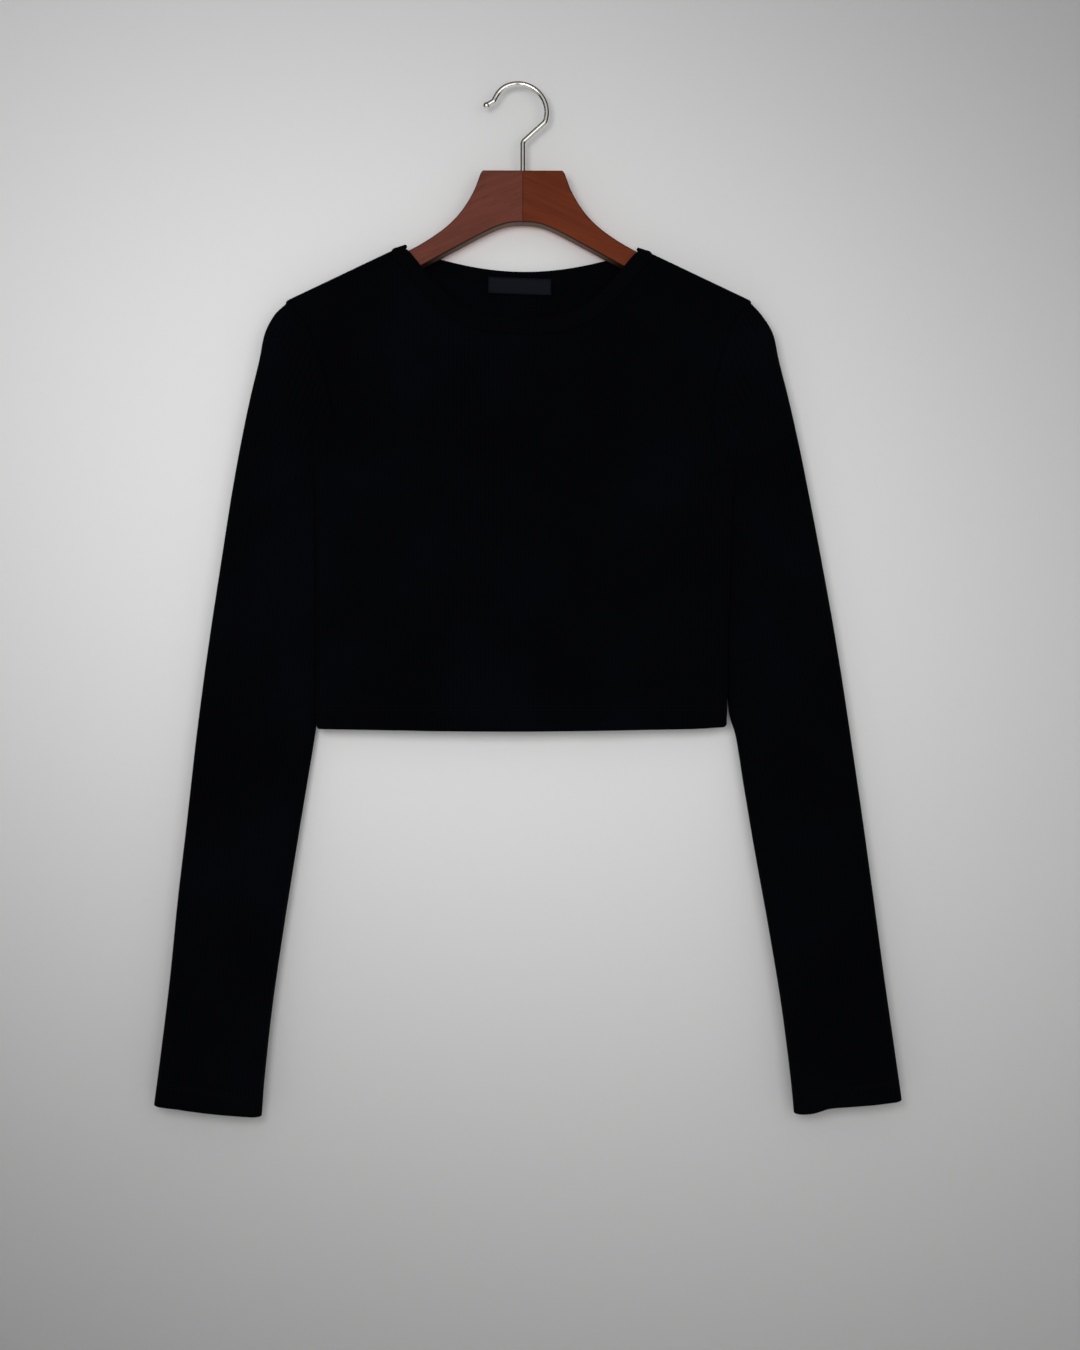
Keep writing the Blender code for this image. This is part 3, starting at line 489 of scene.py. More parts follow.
def neckline_reach(side, point):
    """Distance from a place on the panel to its neckline."""
    x = min(max(point.x, NECK_POINT_X[0] + NECK_STEP), NECK_POINT_X[1] - NECK_STEP)
    drop = neck_edge(side, x) - point.z
    slope = (neck_edge(side, x + NECK_STEP) - neck_edge(side, x - NECK_STEP)) / (2 * NECK_STEP)
    if point.x != x:
        return hypot(point.x - x, max(0.0, drop))
    return drop / hypot(1, slope)


def seam_dip(side, point):
    """How far the panel is drawn in here, along its armholes and its neckline."""
    if point.z <= UNDERARM_Z:
        return 0.0
    ends = torso_row(point.z)
    reach = min(point.x - ends.left, ends.right - point.x, neckline_reach(side, point))
    dip = SEAM_DIP * smooth(1 - reach / SEAM_WIDTH) * smooth((point.z - UNDERARM_Z) / SEAM_START)
    return min(dip, abs(point.y) * DEEPEST_DIP)


def even_shares(outer_turn, inner_turn):
    """Places across a ring from its outer fold to its inner one, close together at both."""
    angles = [pi / 2 * k / ROUND_STEPS for k in range(ROUND_STEPS)]
    steps = LAYER_STEPS - 2 * ROUND_STEPS
    places = [outer_turn * (1 - cos(angle)) for angle in angles]
    places += [lerp(outer_turn, 1 - inner_turn, k / steps) for k in range(steps + 1)]
    places += [1 - inner_turn * (1 - cos(angle)) for angle in reversed(angles)]
    return places


def armhole_shares():
    """Places of the armhole's points along it, from the shoulder down to the underarm."""
    top = shoulder_drop() / (SHOULDER_Z - UNDERARM_Z)
    places = [top * (1 - sin(pi / 2 * k / ROUND_STEPS)) for k in range(ROUND_STEPS, 0, -1)]
    places += [lerp(1.0, top, share) for share in reversed(HIGH_STEPS)]
    return places + [1.0]


def sleeve_folds(row, which):
    """The ends of a ring, on the sleeve's outer and inner fold."""
    outer_x, inner_x = (
        (row.outer_left, row.inner_left) if which == LEFT else (row.outer_right, row.inner_right)
    )
    return Vector((outer_x, 0, row.outer_z)), Vector((inner_x, 0, row.inner_z))


def fine_rings(which):
    """The sleeve's rings close together, each with its distance down the outer fold, and the
    distances of the table's own rings."""
    places = [0.0]
    for before, row in zip(SLEEVE_RINGS, SLEEVE_RINGS[1:]):
        step = sleeve_folds(row, which)[0] - sleeve_folds(before, which)[0]
        places.append(places[-1] + step.length)
    steps = ceil(places[-1] / RING_STEP)
    stations = close_steps(0.0, places[-1] - EDGE_STEPS[-1], steps)
    stations += [places[-1] - step for step in reversed(EDGE_STEPS[:-1])]
    return [(read_table(SLEEVE_RINGS, places, place), place) for place in stations], places


def sleeve_layer(row, outer, inner, squares, side):
    """(share, point) across one layer of a ring."""
    length = (inner - outer).length
    turns = []
    for depth, square in zip((row.outer_depth, row.inner_depth), squares):
        turns.append(min(SLEEVE_ROUND, depth**2 / TIP_RADIUS) / square / length)
    layer = []
    for even, seam in zip(even_shares(*turns), armhole_shares()):
        share = lerp(even, seam, min(1.0, max(0.0, row.like)))
        point = outer.lerp(inner, share)
        half = lerp(row.outer_depth, row.inner_depth, smooth(share))
        half *= quarter(share, turns[0]) * quarter(1 - share, turns[1])
        point.y = row.behind * smooth(between(share, STEP_BACK)) + side * half
        layer.append((share, point))
    return layer


def sleeve_grid(which, armhole):
    """The sleeve's outer face: {(ring, place): (point, flat place, place from the cuff)}.

    It starts and ends on the inner fold, where the underarm seam runs.
    """
    rings, places = fine_rings(which)
    grid = {}
    low_fold = [sleeve_folds(SLEEVE_RINGS[row], which)[0] for row in STRAIGHT_RINGS]
    grain = (low_fold[1] - low_fold[0]).normalized()
    for ring, (row, down) in enumerate(rings):
        outer, inner = sleeve_folds(row, which)
        before = rings[max(ring - 1, 0)]
        after = rings[min(ring + 1, len(rings) - 1)]
        along = (inner - outer).normalized()
        ends = zip(sleeve_folds(before[0], which), sleeve_folds(after[0], which))
        runs = [(last - first).normalized() for first, last in ends]
        squares = [max(LEAST_SQUARE, along.cross(run).length) for run in runs]
        slant = along.dot(runs[0])
        start = smooth(down / places[1])
        bent = [lerp(1.0, square, start) for square in squares]
        width = (inner - outer).length
        for side in (FRONT, BACK):
            top_ends = sleeve_folds(SLEEVE_RINGS[0], which)
            head = sleeve_layer(SLEEVE_RINGS[0], *top_ends, (1.0, 1.0), side)
            layer = sleeve_layer(row, outer, inner, bent, side)
            for k, (share, point) in enumerate(layer):
                near = row.curve * (1 - smooth(between(share, CURVE_END)))
                near = lerp(1.0, max(0.0, near), start)
                seam, dip = armhole[side][k]
                point += (seam - head[k][1]) * near
                across = share * width * squares[0]
                laid = (-side * across, down + share * width * slant)
                reach = Vector((point.x - outer.x, 0, point.z - outer.z))
                flat = (-side * reach.cross(grain).length, down + reach.dot(grain))
                flat_share = smooth(across / PLAIN_FOLD)
                flat_share *= smooth((1 - share) * width / PLAIN_FOLD)
                cuff = places[-1] - down
                depth = crease_depth(SLEEVE_CREASES[which], *laid) * smooth(down / PLAIN_HEAD)
                depth -= TURN_UP_STEP * smooth((TURN_UP - cuff) / TURN_UP_FADE)
                depth *= flat_share
                depth += dip * smooth(1 - down / SEAM_WIDTH)
                point.y -= side * depth
                tuck = smooth(down / TUCK_START) * (1 - smooth(down / TUCK_END))
                point.y += TUCK * tuck * smooth(between(share, TUCK_SHARES))
                notch = 1 - smooth((down - NOTCH_START) / NOTCH_LENGTH)
                notch *= smooth(down / NOTCH_START) * (1 - smooth(share / NOTCH_REACH))
                point += along * SHOULDER_NOTCH * notch
                if cuff < CUFF_FADE:
                    point.z += edge_lift(CUFF_LINES[which], share) * (1 - smooth(cuff / CUFF_FADE))
                place = LAYER_STEPS - k if side == FRONT else LAYER_STEPS + k
                grid[ring, place] = (point, flat, (flat[0], cuff))
    return grid, len(rings) - 1


def cloth_sheet(columns, rows, place_at, outwards):
    """A sheet of cloth from a flat grid. place_at(row, column) gives the point, its place on the
    flat cloth and its place from the finished edge, or None where the cloth is cut away."""
    mesh = bmesh.new()
    bmesh.ops.create_grid(mesh, x_segments=columns, y_segments=rows, size=1.0)
    flat_map = mesh.loops.layers.uv.new("flat")
    edge_map = mesh.loops.layers.uv.new("edge")
    found, cut = {}, []
    for vert in mesh.verts:
        column = round((vert.co.x + 1) / 2 * columns)
        row = round((vert.co.y + 1) / 2 * rows)
        place = place_at(row, column)
        if place is None:
            cut.append(vert)
            continue
        vert.co = place[0]
        found[vert] = place
    bmesh.ops.delete(mesh, geom=cut, context="VERTS")
    for face in mesh.faces:
        for loop in face.loops:
            _, loop[flat_map].uv, loop[edge_map].uv = found[loop.vert]
    bmesh.ops.remove_doubles(mesh, verts=mesh.verts, dist=SAME_POINT)
    mesh.normal_update()
    facing = sum(face.normal.dot(outwards(face)) * face.calc_area() for face in mesh.faces)
    if facing < 0:
        bmesh.ops.reverse_faces(mesh, faces=mesh.faces)
    return mesh


def placed_object(name, data):
    placed = bpy.data.objects.new(name, data)
    bpy.context.scene.collection.objects.link(placed)
    return placed


def mesh_object(name, mesh, material):
    data = bpy.data.meshes.new(name)
    mesh.to_mesh(data)
    mesh.free()
    data.materials.append(material)
    return placed_object(name, data)


def finish_piece(name, mesh, material, node, smooth_angle=radians(50)):
    """Makes the object, hangs it on the body and lets it stand for its CAD node."""
    piece = mesh_object(name, mesh, material)
    piece.data.shade_smooth()
    piece.data.set_sharp_from_angle(angle=smooth_angle)
    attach(piece, "root")
    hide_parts(node)
    return piece


def thicken(piece, thickness):
    """Gives a sheet its cloth thickness, on its inner side."""
    wall = piece.modifiers.new("cloth thickness", "SOLIDIFY")
    wall.thickness = thickness
    wall.offset = -1.0
    wall.use_rim = True
    wall.use_quality_normals = True


# ---------------------------------------------------------------- materials


class Value:
    """A number or a colour in a graph of nodes. Sums on it add Math nodes."""

    def __init__(self, graph, socket):
        self.graph = graph
        self.socket = socket

    def math(self, operation, *values):
        node = self.graph.node("ShaderNodeMath", {"operation": operation}, values)
        return Value(self.graph, node.outputs[0])

    def __add__(self, other):
        return self.math("ADD", self, other)

    __radd__ = __add__

    def __sub__(self, other):
        return self.math("SUBTRACT", self, other)

    def __rsub__(self, other):
        return self.math("SUBTRACT", other, self)

    def __mul__(self, other):
        return self.math("MULTIPLY", self, other)

    def __truediv__(self, other):
        return self.math("DIVIDE", self, other)

    def __pow__(self, other):
        return self.math("POWER", self, other)

    def sine(self):
        return self.math("SINE", self)

    def size(self):
        return self.math("ABSOLUTE", self)

    def least(self, other):
        return self.math("MINIMUM", self, other)

    def soft_least(self, other, reach):
        return self.math("SMOOTH_MIN", self, other, reach)

    def most(self, other):
        return self.math("MAXIMUM", self, other)

    def part(self, other):
        """What is left over after whole steps of the other."""
        return self.math("FLOORED_MODULO", self, other)

    def ramp(self, low, high):
        """0 at low and 1 at high, eased at both ends."""
        settings = {"interpolation_type": "SMOOTHSTEP"}
        inputs = {"Value": self, "From Min": low, "From Max": high}
        node = self.graph.node("ShaderNodeMapRange", settings, inputs)
        return Value(self.graph, node.outputs[0])


class Graph:
    """Nodes of a material or of the world."""

    def __init__(self, owner):
        owner.use_nodes = True
        self.tree = owner.node_tree

    def node(self, kind, settings, inputs):
        """Any node: its settings first, then the values or links of its sockets."""
        node = self.tree.nodes.new(kind)
        for setting, value in settings.items():
            setattr(node, setting, value)
        pairs = inputs.items() if isinstance(inputs, dict) else enumerate(inputs)
        for socket, value in pairs:
            if isinstance(value, Value):
                self.tree.links.new(value.socket, node.inputs[socket])
            else:
                node.inputs[socket].default_value = value
        return node

    def out(self, node, socket=0):
        return Value(self, node.outputs[socket])

    def source(self, kind, socket):
        """What a node without inputs gives."""
        return self.out(self.node(kind, {}, {}), socket)

    def axes(self, vector):
        node = self.node("ShaderNodeSeparateXYZ", {}, (vector,))
        return [self.out(node, k) for k in range(3)]

    def show(self, ending, share, first, second):
        """Ends the graph with two shaders, mixed."""
        shaders = (share, self.out(first), self.out(second))
        both = self.node("ShaderNodeMixShader", {}, shaders)
        self.tree.links.new(both.outputs[0], self.tree.nodes[ending].inputs["Surface"])


class Finish(Graph):
    """A material in the making, around one Principled shader."""

    def __init__(self, name, **constants):
        self.material = bpy.data.materials.new(name)
        super().__init__(self.material)
        self.shader = self.tree.nodes["Principled BSDF"]
        for socket, constant in constants.items():
            self.shader.inputs[socket.replace("_", " ")].default_value = constant

    def feed(self, **links):
        """Links values to the shader's sockets."""
        for socket, value in links.items():
            self.tree.links.new(value.socket, self.shader.inputs[socket.replace("_", " ")])

    def cloth_map(self, name):
        """Place on one of the cloth's flat maps, as two numbers."""
        return self.axes(self.out(self.node("ShaderNodeUVMap", {"uv_map": name}, {})))[:2]

    def place(self):
        return self.source("ShaderNodeTexCoord", "Object")

    def moved(self, vector, turn=(0, 0, 0), scale=(1, 1, 1)):
        inputs = {"Vector": vector, "Rotation": turn, "Scale": scale}
        return self.out(self.node("ShaderNodeMapping", {"vector_type": "POINT"}, inputs))

    def noise(self, vector, scale, detail=3.0, rough=0.55):
        inputs = {"Vector": vector, "Scale": scale, "Detail": detail, "Roughness": rough}
        return self.out(self.node("ShaderNodeTexNoise", {"normalize": True}, inputs))

    def mix(self, share, first, second):
        """A colour between two others."""
        ends = [end if isinstance(end, Value) else (*end, 1.0) for end in (first, second)]
        settings = {"data_type": "RGBA", "blend_type": "MIX"}
        node = self.node("ShaderNodeMix", settings, {0: share, 6: ends[0], 7: ends[1]})
        return self.out(node, 2)

    def bump(self, height, distance, strength):
        inputs = {"Height": height, "Distance": distance, "Strength": strength}
        return self.out(self.node("ShaderNodeBump", {}, inputs))


STITCH = 0.0026  # length of one hem stitch, and distance between the two rows of them
STITCH_EDGE = (0.00015, 0.0004)
STITCH_SIDE = (0.00015, 0.00055)
STITCH_SEAT = (0.0003, 0.0012)
LOOPS = 2.4  # knitted loops to one rib
LABEL_STITCH = 0.0018
LABEL_STITCH_INSET = 0.0011
LABEL_STITCH_EDGE = (0.0001, 0.0004)
KNIT = {"Sheen_Weight": 0.005, "Sheen_Roughness": 0.5, "Specular_IOR_Level": 0.015}


def rib_jersey(sizes, colours):
    """Black rib jersey: fine ribs along the cloth, knitted loops, twin rows of hem stitches."""
    finish = Finish("black rib jersey", **KNIT)
    across, along = finish.cloth_map("flat")
    edge_across, from_edge = finish.cloth_map("edge")
    place = finish.place()
    soft = finish.noise(place, 9.0, 3.0)
    lint = finish.noise(place, 900.0, 2.0)
    rib = (across * (2 * pi / sizes.rib)).sine() * 0.5 + 0.5
    loops = (along * (2 * pi / sizes.rib * LOOPS) + rib * 1.5).sine() * 0.5 + 0.5
    row = (from_edge - TURN_UP).size().least((from_edge - TURN_UP + STITCH).size())
    gaps = (edge_across.part(STITCH) - STITCH / 2).size().ramp(*STITCH_EDGE)
    stitch = (1 - row.ramp(*STITCH_SIDE)) * gaps
    seat = 1 - row.ramp(*STITCH_SEAT)
    shade = rib * 0.28 + loops * 0.10 + soft.ramp(0.3, 0.75) * 0.55 + lint * 0.07
    colour = finish.mix(shade, colours.cloth_dark, colours.cloth_light)
    colour = finish.mix(stitch * 0.8, colour, colours.thread)
    height = rib * 0.7 + loops * 0.2 + lint * 0.15 - seat * 0.9 + stitch * 1.2
    finish.feed(
        Base_Color=colour,
        Roughness=0.86 + soft * 0.12,
        Normal=finish.bump(height, 0.00022, 0.8),
    )
    return finish.material


def rib_band(sizes, colours):
    """The neckband: deeper ribs that run across it."""
    finish = Finish("black neckband rib", **KNIT)
    along, _ = finish.cloth_map("flat")
    soft = finish.noise(finish.place(), 14.0)
    rib = (along * (2 * pi / sizes.band_rib)).sine() * 0.5 + 0.5
    colour = finish.mix(rib * 0.5 + soft * 0.5, colours.cloth_dark, colours.cloth_light)
    finish.feed(
        Base_Color=colour, Roughness=0.84 + soft * 0.1, Normal=finish.bump(rib, 0.00035, 0.9)
    )
    return finish.material


def woven_label(sizes, colours):
    """Navy satin ribbon, left bare: fine weave, with a line of stitches near its edge."""
    finish = Finish("navy woven label", Sheen_Weight=0.02, Specular_IOR_Level=0.06)
    across, down = finish.cloth_map("flat")
    warp = (across * (2 * pi / sizes.weave)).sine()
    weft = (down * (2 * pi / sizes.weave)).sine()
    weave = (warp * weft) * 0.5 + 0.5
    inset = (LABEL_WIDTH / 2 - across.size()).least(LABEL_HEIGHT / 2 - down.size())
    line = 1 - (inset - LABEL_STITCH_INSET).size().ramp(*LABEL_STITCH_EDGE)
    gaps = ((across + down).part(LABEL_STITCH) - LABEL_STITCH / 2).size()
    line = line * gaps.ramp(*LABEL_STITCH_EDGE)
    soft = finish.noise(finish.place(), 60.0)
    shade = weave * 0.5 + soft * 0.5
    colour = finish.mix(shade, colours.label_dark, colours.label_light)
    colour = finish.mix(line * 0.6, colour, colours.thread)
    finish.feed(
        Base_Color=colour,
        Roughness=0.5 + weave * 0.2,
        Normal=finish.bump(weave * 0.4 + line, 0.00015, 0.6),
    )
    return finish.material


GRAIN_SLOPE = radians(-25)
STREAKS = (14, 60, 260)  # patches of grain to a metre: along it, through the wood, across it
BROAD_GRAIN = (9, 14, 45)
PORES = (60, 300, 1400)
EDGE_SHADE_FRONT = (0.00005, 0.0003)  # behind the face: where the painted shade on the rounded edge starts
EDGE_SHADE_BACK = (0.0012, 0.0026)  # and where it ends


def stained_wood(name, direction, pale, dark, colours, shaded=None):
    """Stained, lacquered wood. The grain runs along the arm, down and out from the middle.
    Its rounded edges get painted shade. Where it is shaded, painted shadow turns it as dark as its
    pores between two distances from the middle."""
    finish = Finish(name, Coat_Roughness=0.38, Specular_IOR_Level=0.10)
    place = finish.place()
    turned = finish.moved(place, turn=(0, GRAIN_SLOPE * direction, 0))
    streaks = finish.noise(finish.moved(turned, scale=STREAKS), 1.0, 6.0, 0.6)
    broad = finish.noise(finish.moved(turned, scale=BROAD_GRAIN), 1.0, 3.0, 0.5)
    pores = finish.noise(finish.moved(turned, scale=PORES), 1.0, 2.0, 0.7)
    across, depth, _ = finish.axes(place)
    behind_face = WOOD_THICK / 2 - depth.size()
    # Painted shade on the rounded edges, between two depths behind the flat faces.
    rim = (1 - behind_face.ramp(*EDGE_SHADE_BACK)) * behind_face.ramp(*EDGE_SHADE_FRONT)
    grain = streaks.ramp(0.32, 0.68) * 0.6 + broad.ramp(0.3, 0.7) * 0.4
    colour = finish.mix(grain, dark, pale)
    colour = finish.mix(pores.ramp(0.56, 0.72) * 0.45, colour, colours.wood_pore_and_shade)
    from_joint = (across - WOOD_X).size()
    glued = 1 - from_joint.ramp(*JOINT_LINE)
    # Painted shade on the rounded edges, and the glued joint's dark line, both in the pores'
    # colour.
    colour = finish.mix((rim * 0.9).most(glued * 0.4), colour, colours.wood_pore_and_shade)
    if shaded:
        shadow = from_joint.ramp(*shaded)
        colour = finish.mix(shadow * 0.9, colour, colours.wood_pore_and_shade)
    finish.feed(
        Base_Color=colour,
        Roughness=0.50 + streaks * 0.14,
        Coat_Weight=0.015 + broad * 0.015,
        Normal=finish.bump(streaks * 0.6 - pores.ramp(0.56, 0.72), 0.00008, 0.5),
    )
    return finish.material


def chromed_wire():
    finish = Finish("chromed wire", Metallic=1.0)
    place = finish.place()
    rubbed = finish.noise(place, 120.0, 4.0)
    drawn = finish.noise(finish.moved(place, scale=(900, 900, 60)), 1.0, 3.0)
    colour = finish.mix(rubbed.ramp(0.4, 0.8) * 0.4, (0.74, 0.71, 0.66), (0.50, 0.47, 0.43))
    finish.feed(
        Base_Color=colour,
        Roughness=0.08 + rubbed.ramp(0.5, 0.8) * 0.10,
        Normal=finish.bump(drawn, 0.00002, 0.2),
    )
    return finish.material


# ---------------------------------------------------------------- settings


def length_property(name, description, default):
    """A small length. It can be a third as large as its default, or up to three times."""
    return FloatProperty(
        name=name, description=description, default=default, min=default / 3, max=default * 3,
        unit="LENGTH", precision=5,
    )


class CropTopSizes(bpy.types.PropertyGroup):
    """Sizes of the cloth and of the hanger's finish."""

    cloth: length_property("Cloth thickness", "Thickness of the jersey", 0.0011)
    rib: length_property("Rib spacing", "Distance from rib to rib", 0.0030)
    band_rib: length_property("Neckband rib spacing", "From rib to rib of the neckband", 0.0019)
    weave: length_property("Label weave", "Distance from thread to thread of the label", 0.0006)
    wood_edge: length_property("Wood edge radius", "Rounding of the hanger's edges", 0.0018)


def colour_property(name, description, default):
    return FloatVectorProperty(
        name=name, description=description, default=default, subtype="COLOR", size=3, min=0, max=1
    )


class CropTopColours(bpy.types.PropertyGroup):
    """Colours of the cloth, the label and the hanger."""

    cloth_dark: colour_property("Cloth, dark", "Between the ribs", (0.0006, 0.0007, 0.0011))
    cloth_light: colour_property("Cloth, light", "On the ribs", (0.0017, 0.0020, 0.0034))
    thread: colour_property("Thread", "Hem and label stitches", (0.0026, 0.0027, 0.0034))
    label_dark: colour_property("Label, dark", "Shade of the label", (0.0016, 0.0022, 0.0045))
    label_light: colour_property("Label, light", "Light of the label", (0.0040, 0.0052, 0.0095))
    wood_left: colour_property("Left wood, light", "Left half's grain", (0.140, 0.038, 0.023))
    wood_left_dark: colour_property("Left wood, dark", "Its dark grain", (0.094, 0.024, 0.014))
    wood_right: colour_property("Right wood, light", "Right half's grain", (0.136, 0.023, 0.004))
    wood_right_dark: colour_property("Right wood, dark", "Its dark grain", (0.094, 0.0135, 0.002))
    wood_underside_reflection: colour_property("Underside, light", "Underside lightened by painted reflection", (0.190, 0.120, 0.090))
    wood_underside_reflection_dark: colour_property("Underside, dark", "Its dark grain", (0.120, 0.072, 0.052))
    # The pores' colour, also used for the painted shade on the rounded edges and the painted shadow
    # under the arms.
    wood_pore_and_shade: colour_property("Wood pores and painted shade", "Pores, joint, and painted shade on edges and underside", (0.022, 0.008, 0.005))
    wall: colour_property("Wall", "Wall behind the hanger", (0.810, 0.810, 0.807))
    floor: colour_property("Floor", "Floor below the wall", (0.62, 0.62, 0.61))


def power_property(name, description, default):
    return FloatProperty(name=name, description=description, default=default, min=0, unit="POWER")


class CropTopStudio(bpy.types.PropertyGroup):
    """Camera and lights."""

    view_height: FloatProperty(
        name="View height", description="Height of what the camera frames at the hanger",
        default=1.026, min=0.2, max=4.0, unit="LENGTH",
    )
    distance: FloatProperty(
        name="Camera distance", description="From the camera to the hanger", default=1.18,
        min=0.4, max=8.0, unit="LENGTH",
    )
    key: power_property("Key light", "Strength of the main light", 5.6)
    fill: power_property("Fill light", "Strength of the second light", 4.0)
    rear: power_property("Rear light", "Strength of the light behind", 96.0)
    room: FloatProperty(
        name="Room light", description="Strength of the even light", default=0.46, min=0, max=4
    )


def settings():
    scene = bpy.context.scene
    return scene.crop_top_sizes, scene.crop_top_colours, scene.crop_top_studio


# ---------------------------------------------------------------- pieces


def panel_grids():
    """Both panels' outer faces before the seams draw them in, and their number of columns."""
    grids = {side: panel_grid(side) for side in (FRONT, BACK)}
    return grids, max(column for _, column in grids[FRONT])


class CROPTOP_OT_panels(bpy.types.Operator):
    """Cuts and hangs the front and the back"""

    bl_idname = "croptop.panels"
    bl_label = "Front and back"

    def execute(self, context):
        sizes, colours, _ = settings()
        material = rib_jersey(sizes, colours)
        grids, columns = panel_grids()
        rows = LOW_STEPS + len(HIGH_STEPS) + ROUND_STEPS
        for side, name in ((FRONT, "front"), (BACK, "back")):

            def place_at(row, column, side=side):
                point = grids[side].get((row, column))
                if point is None:
                    return None
                sewn = point - Vector((0, side * seam_dip(side, point), 0))
                return sewn, (point.x, point.z), (point.x, point.z - HEM_Z)

            outwards = Vector((0, side, 0))
            mesh = cloth_sheet(columns, rows, place_at, lambda face: outwards)
            piece = finish_piece(name + "_panel", mesh, material, name)
            thicken(piece, sizes.cloth)
        return {"FINISHED"}


class CROPTOP_OT_sleeves(bpy.types.Operator):
    """Cuts and hangs both sleeves"""

    bl_idname = "croptop.sleeves"
    bl_label = "Sleeves"

    def execute(self, context):
        sizes, _, _ = settings()
        material = bpy.data.materials["black rib jersey"]
        grids, columns = panel_grids()
        for which, node in ((LEFT, "sleeve_left"), (RIGHT, "sleeve_right")):
            edge = 0 if which == LEFT else columns
            armhole = {side: armhole_edge(side, grids[side], edge) for side in (FRONT, BACK)}
            grid, rings = sleeve_grid(which, armhole)

            def outwards(face):
                return Vector((0, face.calc_center_median().y - SLEEVE_MIDDLE, 0))

            mesh = cloth_sheet(
                2 * LAYER_STEPS, rings, lambda row, column: grid[row, column], outwards
            )
            piece = finish_piece(node + "_tube", mesh, material, node)
            thicken(piece, sizes.cloth)
        return {"FINISHED"}


def neckline_loop(grids):
    """(point, normal) round the neckline, down the front and back over the other side.

    The normal turns at a steady rate where the neckline crosses the top of a shoulder.
    """
    left, right = SHOULDER_STEPS, SHOULDER_STEPS + NECK_STEPS
    flat_row = LOW_STEPS + len(HIGH_STEPS)
    top_row = flat_row + ROUND_STEPS
    path = [(row, left) for row in range(top_row, flat_row, -1)]
    path += [(flat_row, column) for column in range(left, right + 1)]
    path += [(row, right) for row in range(flat_row + 1, top_row + 1)]
    loop = []
    for side, places in ((FRONT, path), (BACK, path[-2:0:-1])):
        grid = grids[side]
        for row, column in places:
            point = grid[row, column]
            turn = pi / 2 * (row - flat_row) / ROUND_STEPS
            if turn:
                lean = sin(SHOULDER_SLOPE) * (-1 if column == left else 1)
                up = cos(SHOULDER_SLOPE) * sin(turn)
                normal = Vector((lean * sin(turn), side * cos(turn), up))
            else:
                up = point - grid[row - 1, column]
                out = grid.get((row, column + 1), point) - grid.get((row, column - 1), point)
                normal = up.cross(out).normalized()
                if normal.y * side < 0:
                    normal.negate()
                normal = normal.lerp(Vector((0, side, 0)), 0.5).normalized()
            loop.append((point, normal))
    return loop


def band_direction(loop, sides, k):
    """Direction across the band at one point, averaged over a length of the neckline."""
    total = Vector()
    for step in (-1, 1):
        distance = 0.0
        near = k
        while distance < BAND_TURN:
            segment = near if step == -1 else (near + 1) % len(loop)
            after = (near + step) % len(loop)
            length = (loop[after][0] - loop[near][0]).length
            middle = distance + length / 2
            total += sides[segment] * length * max(0.0, 1 - middle / BAND_TURN)
            distance += length
            near = after
    even = loop[k][1]
    return (total - even * total.dot(even)).normalized()


def band_section():
    """The folded strip's outline: (share of its width, share of half its thickness)."""
    points = []
    low, swell, start = BAND_SIDE_HEIGHTS
    for k in range(BAND_SIDE_POINTS):
        share = k / (BAND_SIDE_POINTS - 1) * BAND_SIDE
        points.append((share, -(low + swell * sin(pi * min(1.0, start + share)))))
    for k in range(1, BAND_FOLD_POINTS + 1):
        angle = -pi / 2 + pi * k / (BAND_FOLD_POINTS + 1)
        share = BAND_SIDE + (1 - BAND_SIDE) * cos(angle)
        points.append((share, BAND_FOLD_HEIGHT * sin(angle)))
    points += [(share, -height) for share, height in reversed(points[:BAND_SIDE_POINTS])]
    return points


class CROPTOP_OT_neckband(bpy.types.Operator):
    """Folds the rib strip and sews it round the neckline"""

    bl_idname = "croptop.neckband"
    bl_label = "Neckband"

    def execute(self, context):
        sizes, colours, _ = settings()
        grids, _ = panel_grids()
        loop = neckline_loop(grids)
        count = len(loop)
        sides, lengths = [], [0.0]
        for k in range(count):
            tangent = loop[k][0] - loop[k - 1][0]
            sides.append((loop[k][1] + loop[k - 1][1]).cross(tangent).normalized())
            lengths.append(lengths[-1] + (loop[(k + 1) % count][0] - loop[k][0]).length)
        outline = band_section()
        places = {}
        for k, (point, even) in enumerate(loop):
            towards = band_direction(loop, sides, k)
            towards -= even * BAND_LEAN * max(0.0, even.z)
            start = point - even * CAD_WALL / 2 - towards * BAND_LAP
            if abs(point.y) <= SEAM_GAP:
                start.y = 0.0
            seam = BAND_BULGE * max(0.0, even.z)
            for corner, (share, height) in enumerate(outline):
                lift = BAND_THICK / 2 * height
                if height > 0:
                    lift += seam * smooth(1 - abs(share / BAND_BULGE_AT - 1))
                places[k, corner] = start + towards * BAND_WIDTH * share + even * lift

        def place_at(row, column):
            point = places[column % count, row % len(outline)]
            flat = (lengths[column], row / len(outline) * 2 * BAND_WIDTH)
            return point, flat, flat

        mesh = cloth_sheet(count, len(outline), place_at, lambda face: Vector((0, 0, 0)))
        bmesh.ops.recalc_face_normals(mesh, faces=mesh.faces)
        piece = finish_piece("neckband_rib", mesh, rib_band(sizes, colours), "neckband")
        return {"FINISHED"}


